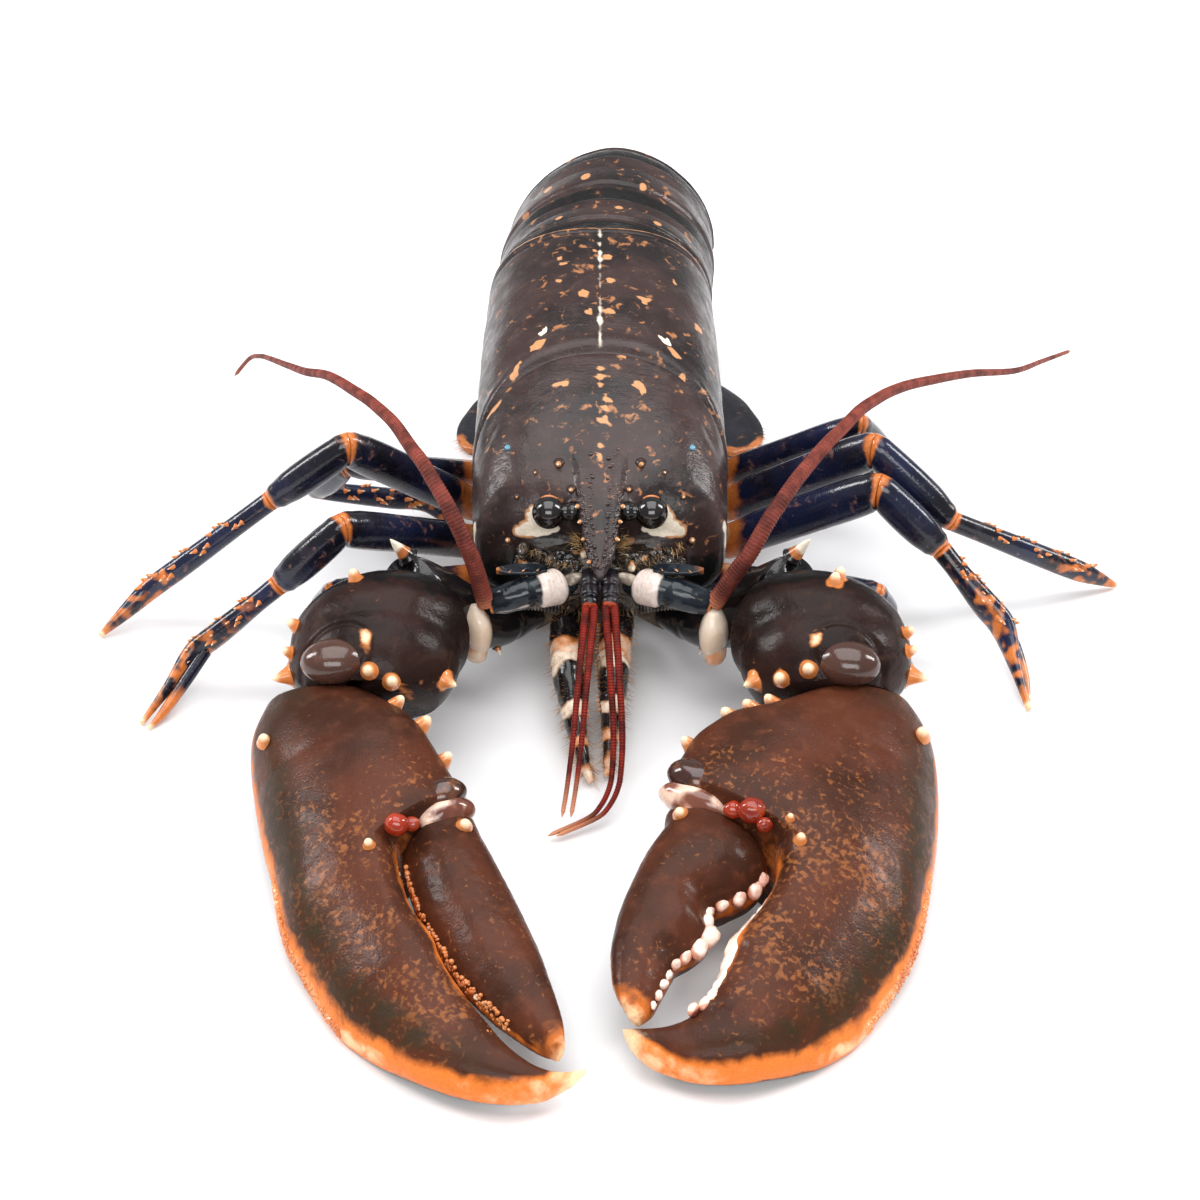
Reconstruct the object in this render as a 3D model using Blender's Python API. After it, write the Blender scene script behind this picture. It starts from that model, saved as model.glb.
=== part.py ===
"""A life-size European lobster at rest on a flat floor, its claws forward and its tail curled under.

Sizes and places are in millimetres in the animal's own frame: it faces -Y, +X is its left side and
+Z is up. The floor is z = 0. Every piece hangs on one empty, which sets the middle of the footprint
at the origin.
"""

import math

import bmesh
import bpy
from mathutils import Matrix, Vector

MM = 0.001
GAP = 0.3
FOOTPRINT_MIDDLE = Vector((3.0, -20.6, 0.0))
SIDES = {"r": -1, "l": 1}

# Carapace: (place along the body, value) pairs, from the rear edge to the tip of the rostrum.
CARAPACE_REAR = 73.0
CARAPACE_FRONT = -19.5
ROSTRUM_TIP = -39.6
CARAPACE_TOP = [(-39.6, 37.4), (-32, 40.5), (-20, 44.8), (-15, 47), (-8, 50), (5, 54.5), (23, 58.4),
                (33, 60.3), (45, 61.6), (60, 62), (73, 61.8)]
CARAPACE_HALF_WIDTH = [(-19.5, 27.6), (-10, 29.2), (0, 30), (25, 30.4), (55, 29.6), (73, 28.2)]
CARAPACE_BOTTOM = [(-19.5, 20), (-8, 15.5), (2, 14.15), (58, 14.15), (73, 19)]
WIDEST_SHARE = 0.47
GROOVE_AT = 23.0
GROOVE_SWEEP = 20.0
GROOVE_DEPTH = 1.4
ROSTRUM_HALF_WIDTH = [(-39.6, 0.5), (-37, 1.7), (-34, 2.9), (-30, 3.9), (-24, 4.6), (-20, 5.4), (-17, 7.5)]
ROSTRUM_TEETH = [(-20.6, 5.2, "lr"), (-24.6, 4.6, "lr"), (-29.2, 3.9, "lr"), (-35.0, 2.5, "r")]
CARAPACE_SIDES = 24

ORBIT = Vector((12.0, -21.8, 43.4))
ORBIT_RADIUS = 6.2
EYE = Vector((12.0, -21.2, 42.4))
EYE_RADIUS = 3.3
EYESTALK_RADIUS = 2.3

# Thorax underside, and where each leg leaves it.
THORAX_HALF_WIDTH = 13.0
THORAX_TOP = 13.85
THORAX_BOTTOM = 5.6
THORAX_REAR = 57.0
LEG_ROOT_X = 19.5
LEG_ROOT_Z = 8.8
LEG_ROOT_RADIUS = 4.6
ARM_ROOT = Vector((17.5, -17.0, 9.8))
ARM_ROOT_RADIUS = 5.4

# Tail: the cross planes between its six plates, as (y, z of the pivot, turn from upright).
CURL_Y = 102.5
CURL_Z = 31.0
TAIL_RADIUS = 31.0
TAIL_PLANES = [(73.0, CURL_Z, 0), (87.0, CURL_Z, 0), (CURL_Y, CURL_Z, 14), (CURL_Y, CURL_Z, 55),
               (CURL_Y, CURL_Z, 97), (CURL_Y, CURL_Z, 139), (CURL_Y, CURL_Z, 180)]
TAIL_HALF_WIDTH = [27.4, 27.2, 26.4, 25.4, 24.2, 22.4, 19.6]
TAIL_ARCH = [1.0, 1.12, 1.16, 1.1, 1.0, 1.0]
TAIL_WIDEST = 5.0
TAIL_DRIFT = 0.09
TAIL_BELLY = [4.5, 4.5, 5.5, 8.0, 11.0, 13.0, 14.5]
PLEURA_TIP = [-3.0, -12.5, 2.6, 2.6, 2.6, 4.0]

# Legs: (root y, ischium end, knee, ankle, foot joint, tip); x grows outwards on each side.
LEGS = {
    "r": [
        (0, (31, -7, 12), (62, -29, 24.5), (66, -22, 13), (52, -10, 5), (43, -2, 0.6)),
        (13, (31, 8, 12), (60, -24, 40), (75.4, -26, 25), (96, -32, 9), (107.5, -48, 0.6)),
        (26, (31, 23, 12), (60, 0, 46), (78.5, -2, 32), (109.5, -6, 7.5), (121, -15, 0.6)),
        (38, (31, 36, 12), (62, 14, 31), (70, 25, 15), (44, 33, 5.5), (35, 29, 0.6)),
    ],
    "l": [
        (0, (31, -7, 12), (64, -30, 25), (67.5, -23.5, 13.5), (54, -11, 5), (45, -3, 0.6)),
        (13, (31, 8, 12), (66.3, -6, 38), (81.2, -11, 24), (95.9, -23, 10), (101, -43, 0.6)),
        (26, (31, 23, 12), (65.6, 5, 42), (84.3, -3, 26.5), (117, 2.6, 7), (127, 5, 0.6)),
        (38, (31, 36, 12), (63, 20, 38), (70.5, 30, 21), (46, 34, 6), (36, 30, 0.6)),
    ],
}
LEG_THICKNESS = [0.92, 1.0, 0.97, 0.85]
PINCER_LEGS = 2
FOOT_SPINES = 3
LEG_SIDES = 8

# Claw arms, as if on the left side: upper arm joint, elbow and wrist.
ARM_JOINT = Vector((24.5, -26.5, 14.0))
ELBOW = Vector((44.0, -37.0, 27.2))
ELBOW_FACING = Vector((0.62, -0.74, 0.25)).normalized()
WRIST = {"l": Vector((55.0, -64.0, 20.0)), "r": Vector((58.0, -64.0, 20.0))}
CLAW_TURN = {"l": 27.5, "r": 27.0}
WRIST_LEAN = 0.5
CARPUS = (Vector((50.0, -48.0, 25.5)), (21.5, 15.0, 17.0))
CARPUS_TURN = -16.0
CARPUS_BOSS = (Vector((57.0, -64.0, 31.0)), (8.6, 7.6, 6.4))
CARPUS_RIM = (Vector((47.0, -62.0, 28.5)), (13.0, 9.5, 8.5))
CARPUS_KNOBS = [
    ((54.5, -43.8, 40.2), 1.7),
    ((62.0, -48.5, 37.4), 1.5),
    ((69.0, -52.0, 31.6), 1.8),
    ((49.6, -69.0, 34.4), 1.8),
    ((42.8, -69.3, 31.2), 1.7),
]
CARPUS_SPINES = [
    ((70, -56, 22), (1.0, -0.45, 0.1), 2.6, 6.0),
    ((37, -62, 26), (-0.8, -0.7, 0.1), 2.2, 4.2),
]
ARM_SPINES = [
    ((44.2, -32.4, 36.6), (0.6, -0.05, 0.85), 2.3, 7.0),
    ((29, -34, 7), (-0.2, -0.7, -0.6), 1.8, 3.5),
]

# Claw outlines: (distance from the wrist, place across), outer edge positive. Each row of a tip is the
# place on its inner edge, the one on its outer edge, the half thickness and the height of the middle.
CLAWS = {
    "l": {
        "outer": [(0, 13.5), (10, 23), (20, 29.9), (37, 38.1), (59, 42.8), (76, 41.8), (88, 38.5), (96, 33.4)],
        "inner": [(0, -8), (10, -13), (16, -16.5), (25, -20.2), (33, -22), (43, -22), (48.4, -20.4)],
        "gape": [(52.2, 7.6), (58, 10.6), (64, 11.6), (77, 12), (86, 12.4), (92, 12.2), (96, 11)],
        "thick": [(0, 9.5), (10, 12.8), (25, 15.2), (43, 15.4), (58, 13), (75, 10.8), (90, 8.4), (96, 7.4)],
        "middle": [(0, 20), (10, 18.6), (25, 16.8), (43, 15.2), (58, 12.8), (75, 10.6), (90, 9), (96, 8.4)],
        "tip": [((99.4, 9.0), (101.6, 28.4), 6.4, 7.9), ((101.8, 6.4), (106, 21.6), 5.3, 7.4),
                ((103.4, 3.6), (108.6, 14.4), 4.3, 7.1), ((104.3, 1.0), (109.2, 8), 3.2, 7.0),
                ((104.6, -0.8), (107.8, 2.2), 1.9, 7.1), ((104.5, -2.2), (105.2, -1.5), 0.45, 7.3)],
        "finger_outer": [(52.8, 6.2), (56, 7.8), (60, 8), (66, 5), (71.5, 1.6), (75, 2.8), (79, 5), (83, 4),
                         (88, 1.8), (94, 2.2), (101, 3), (104.5, 1.8)],
        "finger_inner": [(52.8, -18.5), (57, -17), (64, -17.2), (76, -16), (90, -12.4), (98, -8.4), (102, -5),
                         (104.5, -1.8)],
        "finger_thick": [(52.8, 9.5), (60, 10), (76, 8.6), (90, 6.2), (98, 4.4), (104.5, 1.8)],
        "finger_middle": [(52.8, 16.5), (76, 14.5), (104.5, 12.6)],
        "stations": [0, 4, 10, 17, 25, 34, 43, 48.4, 52.2, 56, 63, 70, 77, 84, 91, 96],
        "finger_stations": [52.8, 56, 60, 66, 71.5, 75, 79, 83, 88, 94, 98, 102, 104.5],
        "teeth": [(69.5, 11.7, 2.9), (77, 12, 2.4), (83, 12, 2.6), (89, 11.8, 2.0), (94, 11.2, 1.7)],
        "finger_teeth": [(79, 4.4, 2.2), (97, 2.4, 1.5)],
        "knobs": [(13, -13.4, 29.4, 1.8), (17.5, -16.4, 28.6, 1.8), (22, -18.4, 28.2, 2.0), (34, -19.6, 27, 1.8),
                  (48, 9.2, 26.5, 2.0)],
        "finger_knob": (57, -14.6, 22.6, 2.2),
        "tilt": 6.5,
    },
    "r": {
        "outer": [(0, 15.5), (9, 23), (20, 28), (33, 32.6), (58, 38.2), (76, 37.8), (90, 34.8), (100, 30.4)],
        "inner": [(0, -6), (6, -8), (12, -9.5), (27, -9.8), (38, -9.8), (43, -10.2), (46, -9.8)],
        "gape": [(49.2, 9.2), (58, 12), (70, 13.8), (84, 14), (94, 12.8), (100, 11.4)],
        "thick": [(0, 9.5), (10, 12.4), (25, 14.4), (43, 14), (58, 12), (75, 10), (90, 8.2), (100, 7)],
        "middle": [(0, 20), (10, 18.4), (25, 16), (43, 13.8), (58, 11.8), (75, 9.8), (90, 8.6), (100, 8.2)],
        "tip": [((105, 10.4), (107.4, 25.2), 6.0, 7.8), ((109.4, 8.8), (112.8, 19.6), 4.9, 7.3),
                ((112.8, 6.8), (116.6, 13.2), 3.8, 6.9), ((115.1, 4.0), (118.6, 7.4), 2.6, 6.7),
                ((116.1, 0.8), (118.4, 2.4), 1.6, 6.7), ((116.2, -2.7), (117.0, -2.1), 0.45, 7.0)],
        "finger_outer": [(49.8, 8.4), (58, 10.6), (70, 12.2), (84, 12.4), (98, 10.2), (106, 7.6), (111, 5.2),
                         (114.4, 3.0)],
        "finger_inner": [(49.8, -9.4), (56, -8.6), (66, -8), (84, -6.2), (101, -3.2), (108, -1.4), (114.4, 1.2)],
        "finger_thick": [(49.8, 8.6), (60, 9), (76, 8), (92, 6.2), (104, 4.2), (111, 2.6), (114.4, 1.2)],
        "finger_middle": [(49.8, 16), (76, 14), (114.4, 12)],
        "stations": [0, 4, 10, 17, 25, 35, 42, 46, 49.2, 56, 65, 74, 83, 92, 100],
        "finger_stations": [49.8, 54, 62, 70, 79, 88, 96, 103, 108, 112, 114.4],
        "teeth": [],
        "finger_teeth": [],
        "knobs": [(13.5, -7.4, 28.6, 1.6), (22.4, -9.0, 27.4, 1.8), (32.6, -9.2, 26, 1.8), (45, 8, 23.5, 2.0)],
        "finger_knob": (53.6, -5.4, 22.4, 2.0),
        "tilt": 6.0,
    },
}
TILT_END = 106.0
CLAW_SIDES = 16
FINGER_SIDES = 12

# Feelers. The long pair is broken short and bends down to the floor behind the legs.
PEDUNCLE = [Vector((9.4, -31.0, 28.5)), Vector((15.5, -34.4, 29.6)), Vector((26.0, -36.5, 27.2))]
PEDUNCLE_RADII = [3.4, 4.2, 3.7, 3.4, 2.7]
ANTENNAE = {
    "l": [(26.4, -36.9, 27.6), (33, -37, 40), (40, -31, 50), (47, -22, 55), (54, -12, 57), (59.6, -3, 57),
          (66, 8.5, 54), (73, 20.5, 49), (82.6, 34, 42), (92, 48, 34), (107, 70, 20), (116, 87.5, 11),
          (126, 105, 2.5)],
    "r": [(26.4, -36.9, 27.6), (30, -38, 44), (36, -32, 55), (42, -23, 60), (47, -12, 60), (53, 0, 58),
          (59, 12, 54), (66, 28, 47), (73, 43, 38), (79, 59, 29), (88.5, 81, 17), (92, 88, 11.5), (97, 93, 2.5)],
}
ANTENNA_RADII = [2.1, 1.75, 1.4, 1.2, 0.95, 0.7, 0.5]
ANTENNULES = {
    "l": [(2.3, -41.5, 30), (3.4, -56, 22.5), (4.1, -68, 13), (3.6, -75, 7.4), (0.2, -82, 3.4), (-11, -88.5, 1.6)],
    "r": [(-2.3, -41.5, 30), (-3.6, -55, 24), (-5.4, -72, 13), (-6.6, -80, 7.5), (-7.6, -85, 4)],
}
ANTENNULE_ROOT = Vector((2.5, -31.0, 32.0))
ANTENNULE_RADIUS = 0.95
STRAND_SPREAD = 1.0

# Outer mouth legs, bent forward together to the floor.
MOUTH_LEGS = {
    "l": [(5.2, -20.6, 12.2), (3.8, -31, 14.4), (3.2, -41, 13), (2.7, -53, 8.4), (2.1, -63, 3.8), (1.6, -67.5, 1.2)],
    "r": [(-7.2, -20.6, 12.2), (-8.0, -31, 14.4), (-7.6, -41, 13), (-6.1, -53, 8.4), (-3.9, -64, 3.8),
          (-2.1, -69.5, 1.2)],
}
MOUTH_LEG_RADII = [3.2, 4.2, 4.2, 3.4, 2.2, 0.8]

# Tail fan, lying on the floor with its upper face down.
TELSON_LENGTH = 42.0
FAN_PLATES = {
    "inner": {"root": 12.6, "turn": 8.0, "length": 42.0, "narrow": 2.4, "wide": 9.0, "rest": 3.75, "rise": 2.7},
    "outer": {"root": 18.0, "turn": 22.0, "length": 45.0, "narrow": 2.2, "wide": 9.4, "rest": 0.95, "rise": 3.2},
}
FAN_THICKNESS = 2.0

COLOURS = {
    "shell": ((0.075, 0.052, 0.050), 0.28),
    "claw": ((0.130, 0.058, 0.036), 0.30),
    "leg": ((0.020, 0.026, 0.050), 0.30),
    "feeler": ((0.200, 0.050, 0.035), 0.45),
    "feeler_red": ((0.420, 0.045, 0.025), 0.40),
    "eye": ((0.008, 0.008, 0.009), 0.08),
    "mouth": ((0.110, 0.080, 0.050), 0.55),
    "mouth_leg": ((0.300, 0.190, 0.120), 0.40),
}


def place(point):
    """A point of the animal's frame in metres."""
    return Vector(point) * MM


def value_at(pairs, at):
    """Smooth value at one place, read from (place, value) pairs without overshoot."""
    if at <= pairs[0][0]:
        return pairs[0][1]
    if at >= pairs[-1][0]:
        return pairs[-1][1]
    slopes = [(b[1] - a[1]) / (b[0] - a[0]) for a, b in zip(pairs, pairs[1:])]
    i = next(k for k in range(len(slopes)) if at <= pairs[k + 1][0])

    def tangent(k):
        if k == 0 or k == len(slopes):
            return slopes[min(k, len(slopes) - 1)]
        before, after = slopes[k - 1], slopes[k]
        return 0.0 if before * after <= 0 else 2 * before * after / (before + after)

    x0, y0 = pairs[i]
    x1, y1 = pairs[i + 1]
    h = x1 - x0
    t = (at - x0) / h
    return (y0 * (1 + 2 * t) * (1 - t) ** 2 + y1 * t * t * (3 - 2 * t)
            + tangent(i) * h * t * (1 - t) ** 2 - tangent(i + 1) * h * t * t * (1 - t))


def power(value, exponent):
    """Signed power, which squares off or sharpens an oval section."""
    return math.copysign(abs(value) ** exponent, value)


def smooth_path(points, count):
    """Points of a smooth curve through the given ones."""
    marks = [(i, Vector(p)) for i, p in enumerate(points)]
    axes = [[(i, p[axis]) for i, p in marks] for axis in range(3)]
    last = len(points) - 1
    return [Vector([value_at(axis, last * k / (count - 1)) for axis in axes]) for k in range(count)]


def finish(name):
    """The material of one kind of shell."""
    material = bpy.data.materials.get(name)
    if material is None:
        material = bpy.data.materials.new(name)
        material.use_nodes = True
        colour, roughness = COLOURS[name]
        shader = material.node_tree.nodes["Principled BSDF"]
        shader.inputs["Base Color"].default_value = (*colour, 1.0)
        shader.inputs["Roughness"].default_value = roughness
        shader.inputs["Metallic"].default_value = 0.0
    return material


def add_object(name, mesh, material):
    """A named object in the lobster's collection."""
    obj = bpy.data.objects.new(name, mesh)
    mesh.materials.clear()
    mesh.materials.append(finish(material))
    mesh.shade_smooth()
    mesh.set_sharp_from_angle(angle=math.radians(40))
    bpy.data.collections["lobster"].objects.link(obj)
    return obj


def tube(name, points, radii, resolution=2):
    """A round tube of changing thickness along a path, as a curve with filled ends."""
    curve = bpy.data.curves.new(name, "CURVE")
    curve.dimensions = "3D"
    curve.bevel_depth = MM
    curve.bevel_resolution = resolution
    curve.use_fill_caps = True
    curve.use_radius = True
    spline = curve.splines.new("POLY")
    spline.points.add(len(points) - 1)
    for spot, point, radius in zip(spline.points, points, radii):
        spot.co = (*place(point), 1.0)
        spot.radius = radius
    obj = bpy.data.objects.new(name, curve)
    bpy.data.collections["lobster"].objects.link(obj)
    return obj


def meshed(obj):
    """The closed mesh of a tube, which then takes the tube's place."""
    graph = bpy.context.evaluated_depsgraph_get()
    mesh = bpy.data.meshes.new_from_object(obj.evaluated_get(graph))
    bpy.data.objects.remove(obj)
    bm = bmesh.new()
    bm.from_mesh(mesh)
    bmesh.ops.remove_doubles(bm, verts=bm.verts[:], dist=0.00001)
    bm.to_mesh(mesh)
    bm.free()
    return mesh


def mesh_from(bm):
    """A mesh from an edited one, in triangles with faces pointing out."""
    bmesh.ops.triangulate(bm, faces=bm.faces[:])
    bmesh.ops.recalc_face_normals(bm, faces=bm.faces[:])
    mesh = bpy.data.meshes.new("shape")
    bm.to_mesh(mesh)
    bm.free()
    return mesh


def loft(rings, floor=True):
    """A closed mesh through rings of points, with flat ends; what would sink below the floor rests on it."""
    bm = bmesh.new()
    rows = []
    for ring in rings:
        points = [Vector((p[0], p[1], max(p[2], 0.0) if floor else p[2])) for p in ring]
        rows.append([bm.verts.new(place(p)) for p in points])
    count = len(rows[0])
    for first, second in zip(rows, rows[1:]):
        for i in range(count):
            j = (i + 1) % count
            bm.faces.new((first[i], first[j], second[j], second[i]))
    bm.faces.new(rows[0])
    bm.faces.new(list(reversed(rows[-1])))
    return mesh_from(bm)


def ball(centre, radii, turn=0.0, segments=12, rings=8):
    """An ellipsoid turned about the vertical."""
    bm = bmesh.new()
    matrix = (Matrix.Translation(place(centre)) @ Matrix.Rotation(math.radians(turn), 4, "Z")
              @ Matrix.Diagonal((*(Vector(radii) * MM), 1.0)))
    bmesh.ops.create_uvsphere(bm, u_segments=segments, v_segments=rings, radius=1.0, matrix=matrix)
    return mesh_from(bm)


def spine(root, direction, radius, length, sides=6, tip=0.25):
    """A cone with its base sunk in what it grows from."""
    direction = Vector(direction).normalized()
    sink = radius * 1.1
    turn = direction.to_track_quat("Z", "Y").to_matrix().to_4x4()
    middle = place(Vector(root) + direction * (length - sink) / 2)
    bm = bmesh.new()
    bmesh.ops.create_cone(bm, cap_ends=True, segments=sides, radius1=radius * MM, radius2=radius * tip * MM,
                          depth=(length + sink) * MM, matrix=Matrix.Translation(middle) @ turn)
    return mesh_from(bm)


def largest_surface(mesh):
    """Keeps the largest closed surface of a mesh."""
    bm = bmesh.new()
    bm.from_mesh(mesh)
    left = set(bm.verts)
    groups = []
    while left:
        group = [left.pop()]
        for vert in group:
            for edge in vert.link_edges:
                other = edge.other_vert(vert)
                if other in left:
                    left.remove(other)
                    group.append(other)
        groups.append(group)
    groups.sort(key=lambda g: (Vector([max(v.co[i] for v in g) - min(v.co[i] for v in g)
                                       for i in range(3)])).length)
    for group in groups[:-1]:
        bmesh.ops.delete(bm, geom=group, context="VERTS")
    bmesh.ops.triangulate(bm, faces=bm.faces[:])
    bm.to_mesh(mesh)
    bm.free()


def combine(name, base, others, material, operation="UNION", solver="EXACT"):
    """Joins pieces to a base mesh, or cuts them from it, as one closed body."""
    obj = add_object(name, base, material)
    if not others:
        return obj
    extras = bpy.data.collections.new(name + "_pieces")
    for mesh in others:
        extras.objects.link(bpy.data.objects.new(name + "_piece", mesh))
    boolean = obj.modifiers.new("Join", "BOOLEAN")
    boolean.operand_type = "COLLECTION"
    boolean.collection = extras
    boolean.operation = operation
    boolean.solver = solver
    graph = bpy.context.evaluated_depsgraph_get()
    joined = bpy.data.meshes.new_from_object(obj.evaluated_get(graph))
    obj.modifiers.clear()
    for extra in list(extras.objects):
        bpy.data.objects.remove(extra)
    bpy.data.collections.remove(extras)
    largest_surface(joined)
    obj.data = joined
    joined.materials.clear()
    joined.materials.append(finish(material))
    return obj


def tube_rings(path, radii, reference, sides, start=None, end=None):
    """Rings along a path. Each radius is (along the bend, across it); start and end are the cap normals."""
    rings = []
    last = len(path) - 1
    for i, point in enumerate(path):
        before = (path[i] - path[max(i - 1, 0)]).normalized()
        after = (path[min(i + 1, last)] - path[i]).normalized()
        along = (before + after).normalized()
        normal = along
        if i == 0 and start is not None:
            normal = start
        if i == last and end is not None:
            normal = end
        stretch = min(1 / max(abs(normal.dot(along)), 0.25), 2.2) ** 0.5
        across = (reference - normal * reference.dot(normal)).normalized()
        up = normal.cross(across)
        centre = point
        if i == 0:
            centre = point + normal * GAP / 2
        if i == last:
            centre = point - normal * GAP / 2
        tall, wide = radii[i] if isinstance(radii[i], tuple) else (radii[i], radii[i])
        rings.append([centre + across * wide * math.cos(a) + up * tall * stretch * math.sin(a)
                      for a in (2 * math.pi * k / sides for k in range(sides))])
    return rings


def carapace_ring(station):
    """One cross section of the shield; it bends forward down the sides, as the neck groove does."""
    top = value_at(CARAPACE_TOP, station)
    half = value_at(CARAPACE_HALF_WIDTH, station)
    bottom = value_at(CARAPACE_BOTTOM, station)
    widest = bottom + WIDEST_SHARE * (top - bottom)
    reach = (CARAPACE_REAR - station) * (station - CARAPACE_FRONT)
    sweep = GROOVE_SWEEP * reach / ((CARAPACE_REAR - GROOVE_AT) * (GROOVE_AT - CARAPACE_FRONT))
    dent = GROOVE_DEPTH if abs(station - GROOVE_AT) < 0.1 else 0.0
    ring = []
    for k in range(CARAPACE_SIDES):
        angle = math.pi / 2 - 2 * math.pi * k / CARAPACE_SIDES
        c, s = math.cos(angle), math.sin(angle)
        if s >= -1e-6:
            x = (half - dent) * power(c, 0.80)
            z = widest + (top - dent - widest) * max(s, 0.0) ** 0.90
            y = station - sweep * (1 - max(s, 0.0)) ** 0.8
        else:
            x = (half - dent) * power(c, 0.62)
            z = widest - (widest - bottom) * (-s) ** 0.42
            y = station - sweep * (1 + 0.25 * -s)
        ring.append(Vector((x, y, z)))
    return ring


def rostrum_ring(station):
    """One cross section of the pointed rostrum, flat above and keeled below."""
    top = value_at(CARAPACE_TOP, station)
    half = value_at(ROSTRUM_HALF_WIDTH, station)
    deep = 0.9 + 0.55 * half
    ring = []
    for k in range(CARAPACE_SIDES):
        angle = math.pi / 2 - 2 * math.pi * k / CARAPACE_SIDES
        c, s = math.cos(angle), math.sin(angle)
        z = top - 0.35 * deep + (0.35 * deep * s if s > 0 else 0.8 * deep * s)
        ring.append(Vector((half * power(c, 0.8), station, z)))
    return ring


def build_carapace():
    shield = [73.0, 71.2, 69.6, 62, 53, 44, 36, 29, 25.6, GROOVE_AT, 20.4, 14, 6, -2, -9, -15, CARAPACE_FRONT]
    snout = [-20.0, -22, -25, -28.5, -32, -35, -37.6, ROSTRUM_TIP]
    rings = [carapace_ring(station) for station in shield]
    for ring in (rings[1],):
        for point in ring:
            point.z -= 0.9 if point.z > 30 else 0.0
    rings += [rostrum_ring(station) for station in snout]
    pieces = []
    for name, side in SIDES.items():
        for station, half, where in ROSTRUM_TEETH:
            if name not in where:
                continue
            root = (side * (half - 0.5), station, value_at(CARAPACE_TOP, station) - 0.9)
            pieces.append(spine(root, (side * 0.8, -0.9, 0.35), 1.0, 2.3))
        pieces.append(spine((side * 10.0, -11.0, 47.4), (side * 0.15, -1.0, 0.5), 1.2, 2.6))
        pieces.append(spine((side * 21.5, -18.5, 36.5), (side * 0.3, -1.0, 0.2), 1.6, 3.6))
    shell = combine("carapace", loft(rings), pieces, "shell")
    cutters = [ball((side * ORBIT.x, ORBIT.y, ORBIT.z), [ORBIT_RADIUS] * 3) for side in SIDES.values()]
    base = shell.data
    bpy.data.objects.remove(shell)
    combine("carapace", base, cutters, "shell", "DIFFERENCE")


def leg_joints(side, row):
    """The joints of one walking leg, with x turned to its side."""
    sign = SIDES[side]
    root, *joints = row
    points = [Vector((LEG_ROOT_X, root, LEG_ROOT_Z))] + [Vector(j) for j in joints]
    return [Vector((sign * p.x, p.y, p.z)) for p in points]


def mitre(before, at, after):
    """The normal of the plane between two pieces that meet at a joint."""
    return ((at - before).normalized() + (after - at).normalized()).normalized()


def build_thorax():
    rings = []
    for y, half, low in ((-19, 10, 8.0), (-16, 12.4, 6.4), (0, THORAX_HALF_WIDTH, THORAX_BOTTOM),
                         (48, THORAX_HALF_WIDTH, THORAX_BOTTOM), (THORAX_REAR, 9, 8.0)):
        ring = [(half, y, THORAX_TOP), (half, y, low + 3.5), (half * 0.55, y, low), (-half * 0.55, y, low),
                (-half, y, low + 3.5), (-half, y, THORAX_TOP)]
        rings.append([Vector(p) for p in ring])
    pieces = []
    for side, sign in SIDES.items():
        for row in LEGS[side]:
            joints = leg_joints(side, row)
            inner = Vector((sign * 6, row[0] + 1.5, LEG_ROOT_Z))
            radii = [(LEG_ROOT_RADIUS, LEG_ROOT_RADIUS)] * 2
            normal = (joints[1] - joints[0]).normalized()
            pieces.append(loft(tube_rings([inner, joints[0]], radii, Vector((0, 0, 1)), LEG_SIDES, end=normal)))
        arm = Vector((sign * ARM_ROOT.x, ARM_ROOT.y, ARM_ROOT.z))
        inner = Vector((sign * 6, -10, 9.8))
        normal = (Vector((sign * ARM_JOINT.x, ARM_JOINT.y, ARM_JOINT.z)) - arm).normalized()
        radii = [(ARM_ROOT_RADIUS - 2.6, ARM_ROOT_RADIUS)] * 2
        radii[0] = (ARM_ROOT_RADIUS - 2.8, ARM_ROOT_RADIUS - 1)
        pieces.append(loft(tube_rings([inner, arm], radii, Vector((0, 1, 0)), 12, end=normal)))
    combine("thorax", loft(rings), pieces, "mouth")


def build_head():
    rings = []
    for y, half, low, top in ((-20.5, 19.5, 18.5, 36.0), (-23, 18.8, 17.6, 35.6), (-28, 13.0, 18.5, 34.8),
                              (-30.6, 10.0, 20.0, 34.2)):
        middle, tall = (low + top) / 2, (top - low) / 2
        ring = [Vector((half * power(math.cos(a), 0.7), y, middle + tall * power(math.sin(a), 0.7)))
                for a in (2 * math.pi * k / 16 for k in range(16))]
        rings.append(ring)
    combine("head", loft(rings), [], "mouth")


def build_eyes():
    for side, sign in SIDES.items():
        eye = Vector((sign * EYE.x, EYE.y, EYE.z))
        socket = Vector((sign * ORBIT.x, ORBIT.y, ORBIT.z))
        combine("eye_" + side, ball(eye, [EYE_RADIUS] * 3, segments=14, rings=10), [], "eye")
        root = Vector((sign * 4.5, EYE.y + 0.4, EYE.z + 0.2))
        outward = Vector((sign, 0, 0))
        radii = [EYESTALK_RADIUS, EYESTALK_RADIUS + 0.2]
        stalk = loft(tube_rings([root, eye], radii, Vector((0, 0, 1)), 12, outward, outward))
        room = ball(socket, [ORBIT_RADIUS - GAP] * 3)
        first = combine("eyestalk_" + side, stalk, [room], "shell", "INTERSECT")
        base = first.data
        bpy.data.objects.remove(first)
        hollow = ball(eye, [EYE_RADIUS + GAP] * 3, segments=14, rings=10)
        combine("eyestalk_" + side, base, [hollow], "shell", "DIFFERENCE")


def drifted(x, y):
    """The tail drifts a little to the animal's left."""
    return x + TAIL_DRIFT * (y - CARAPACE_REAR)


def tail_point(plane, x, radius, shift=0.0):
    """A point of one cross plane of the tail."""
    y, z, turn = plane
    a = math.radians(turn)
    y = y + radius * math.sin(a) + shift * math.cos(a)
    return Vector((drifted(x, y), y, z + radius * math.cos(a) - shift * math.sin(a)))


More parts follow.
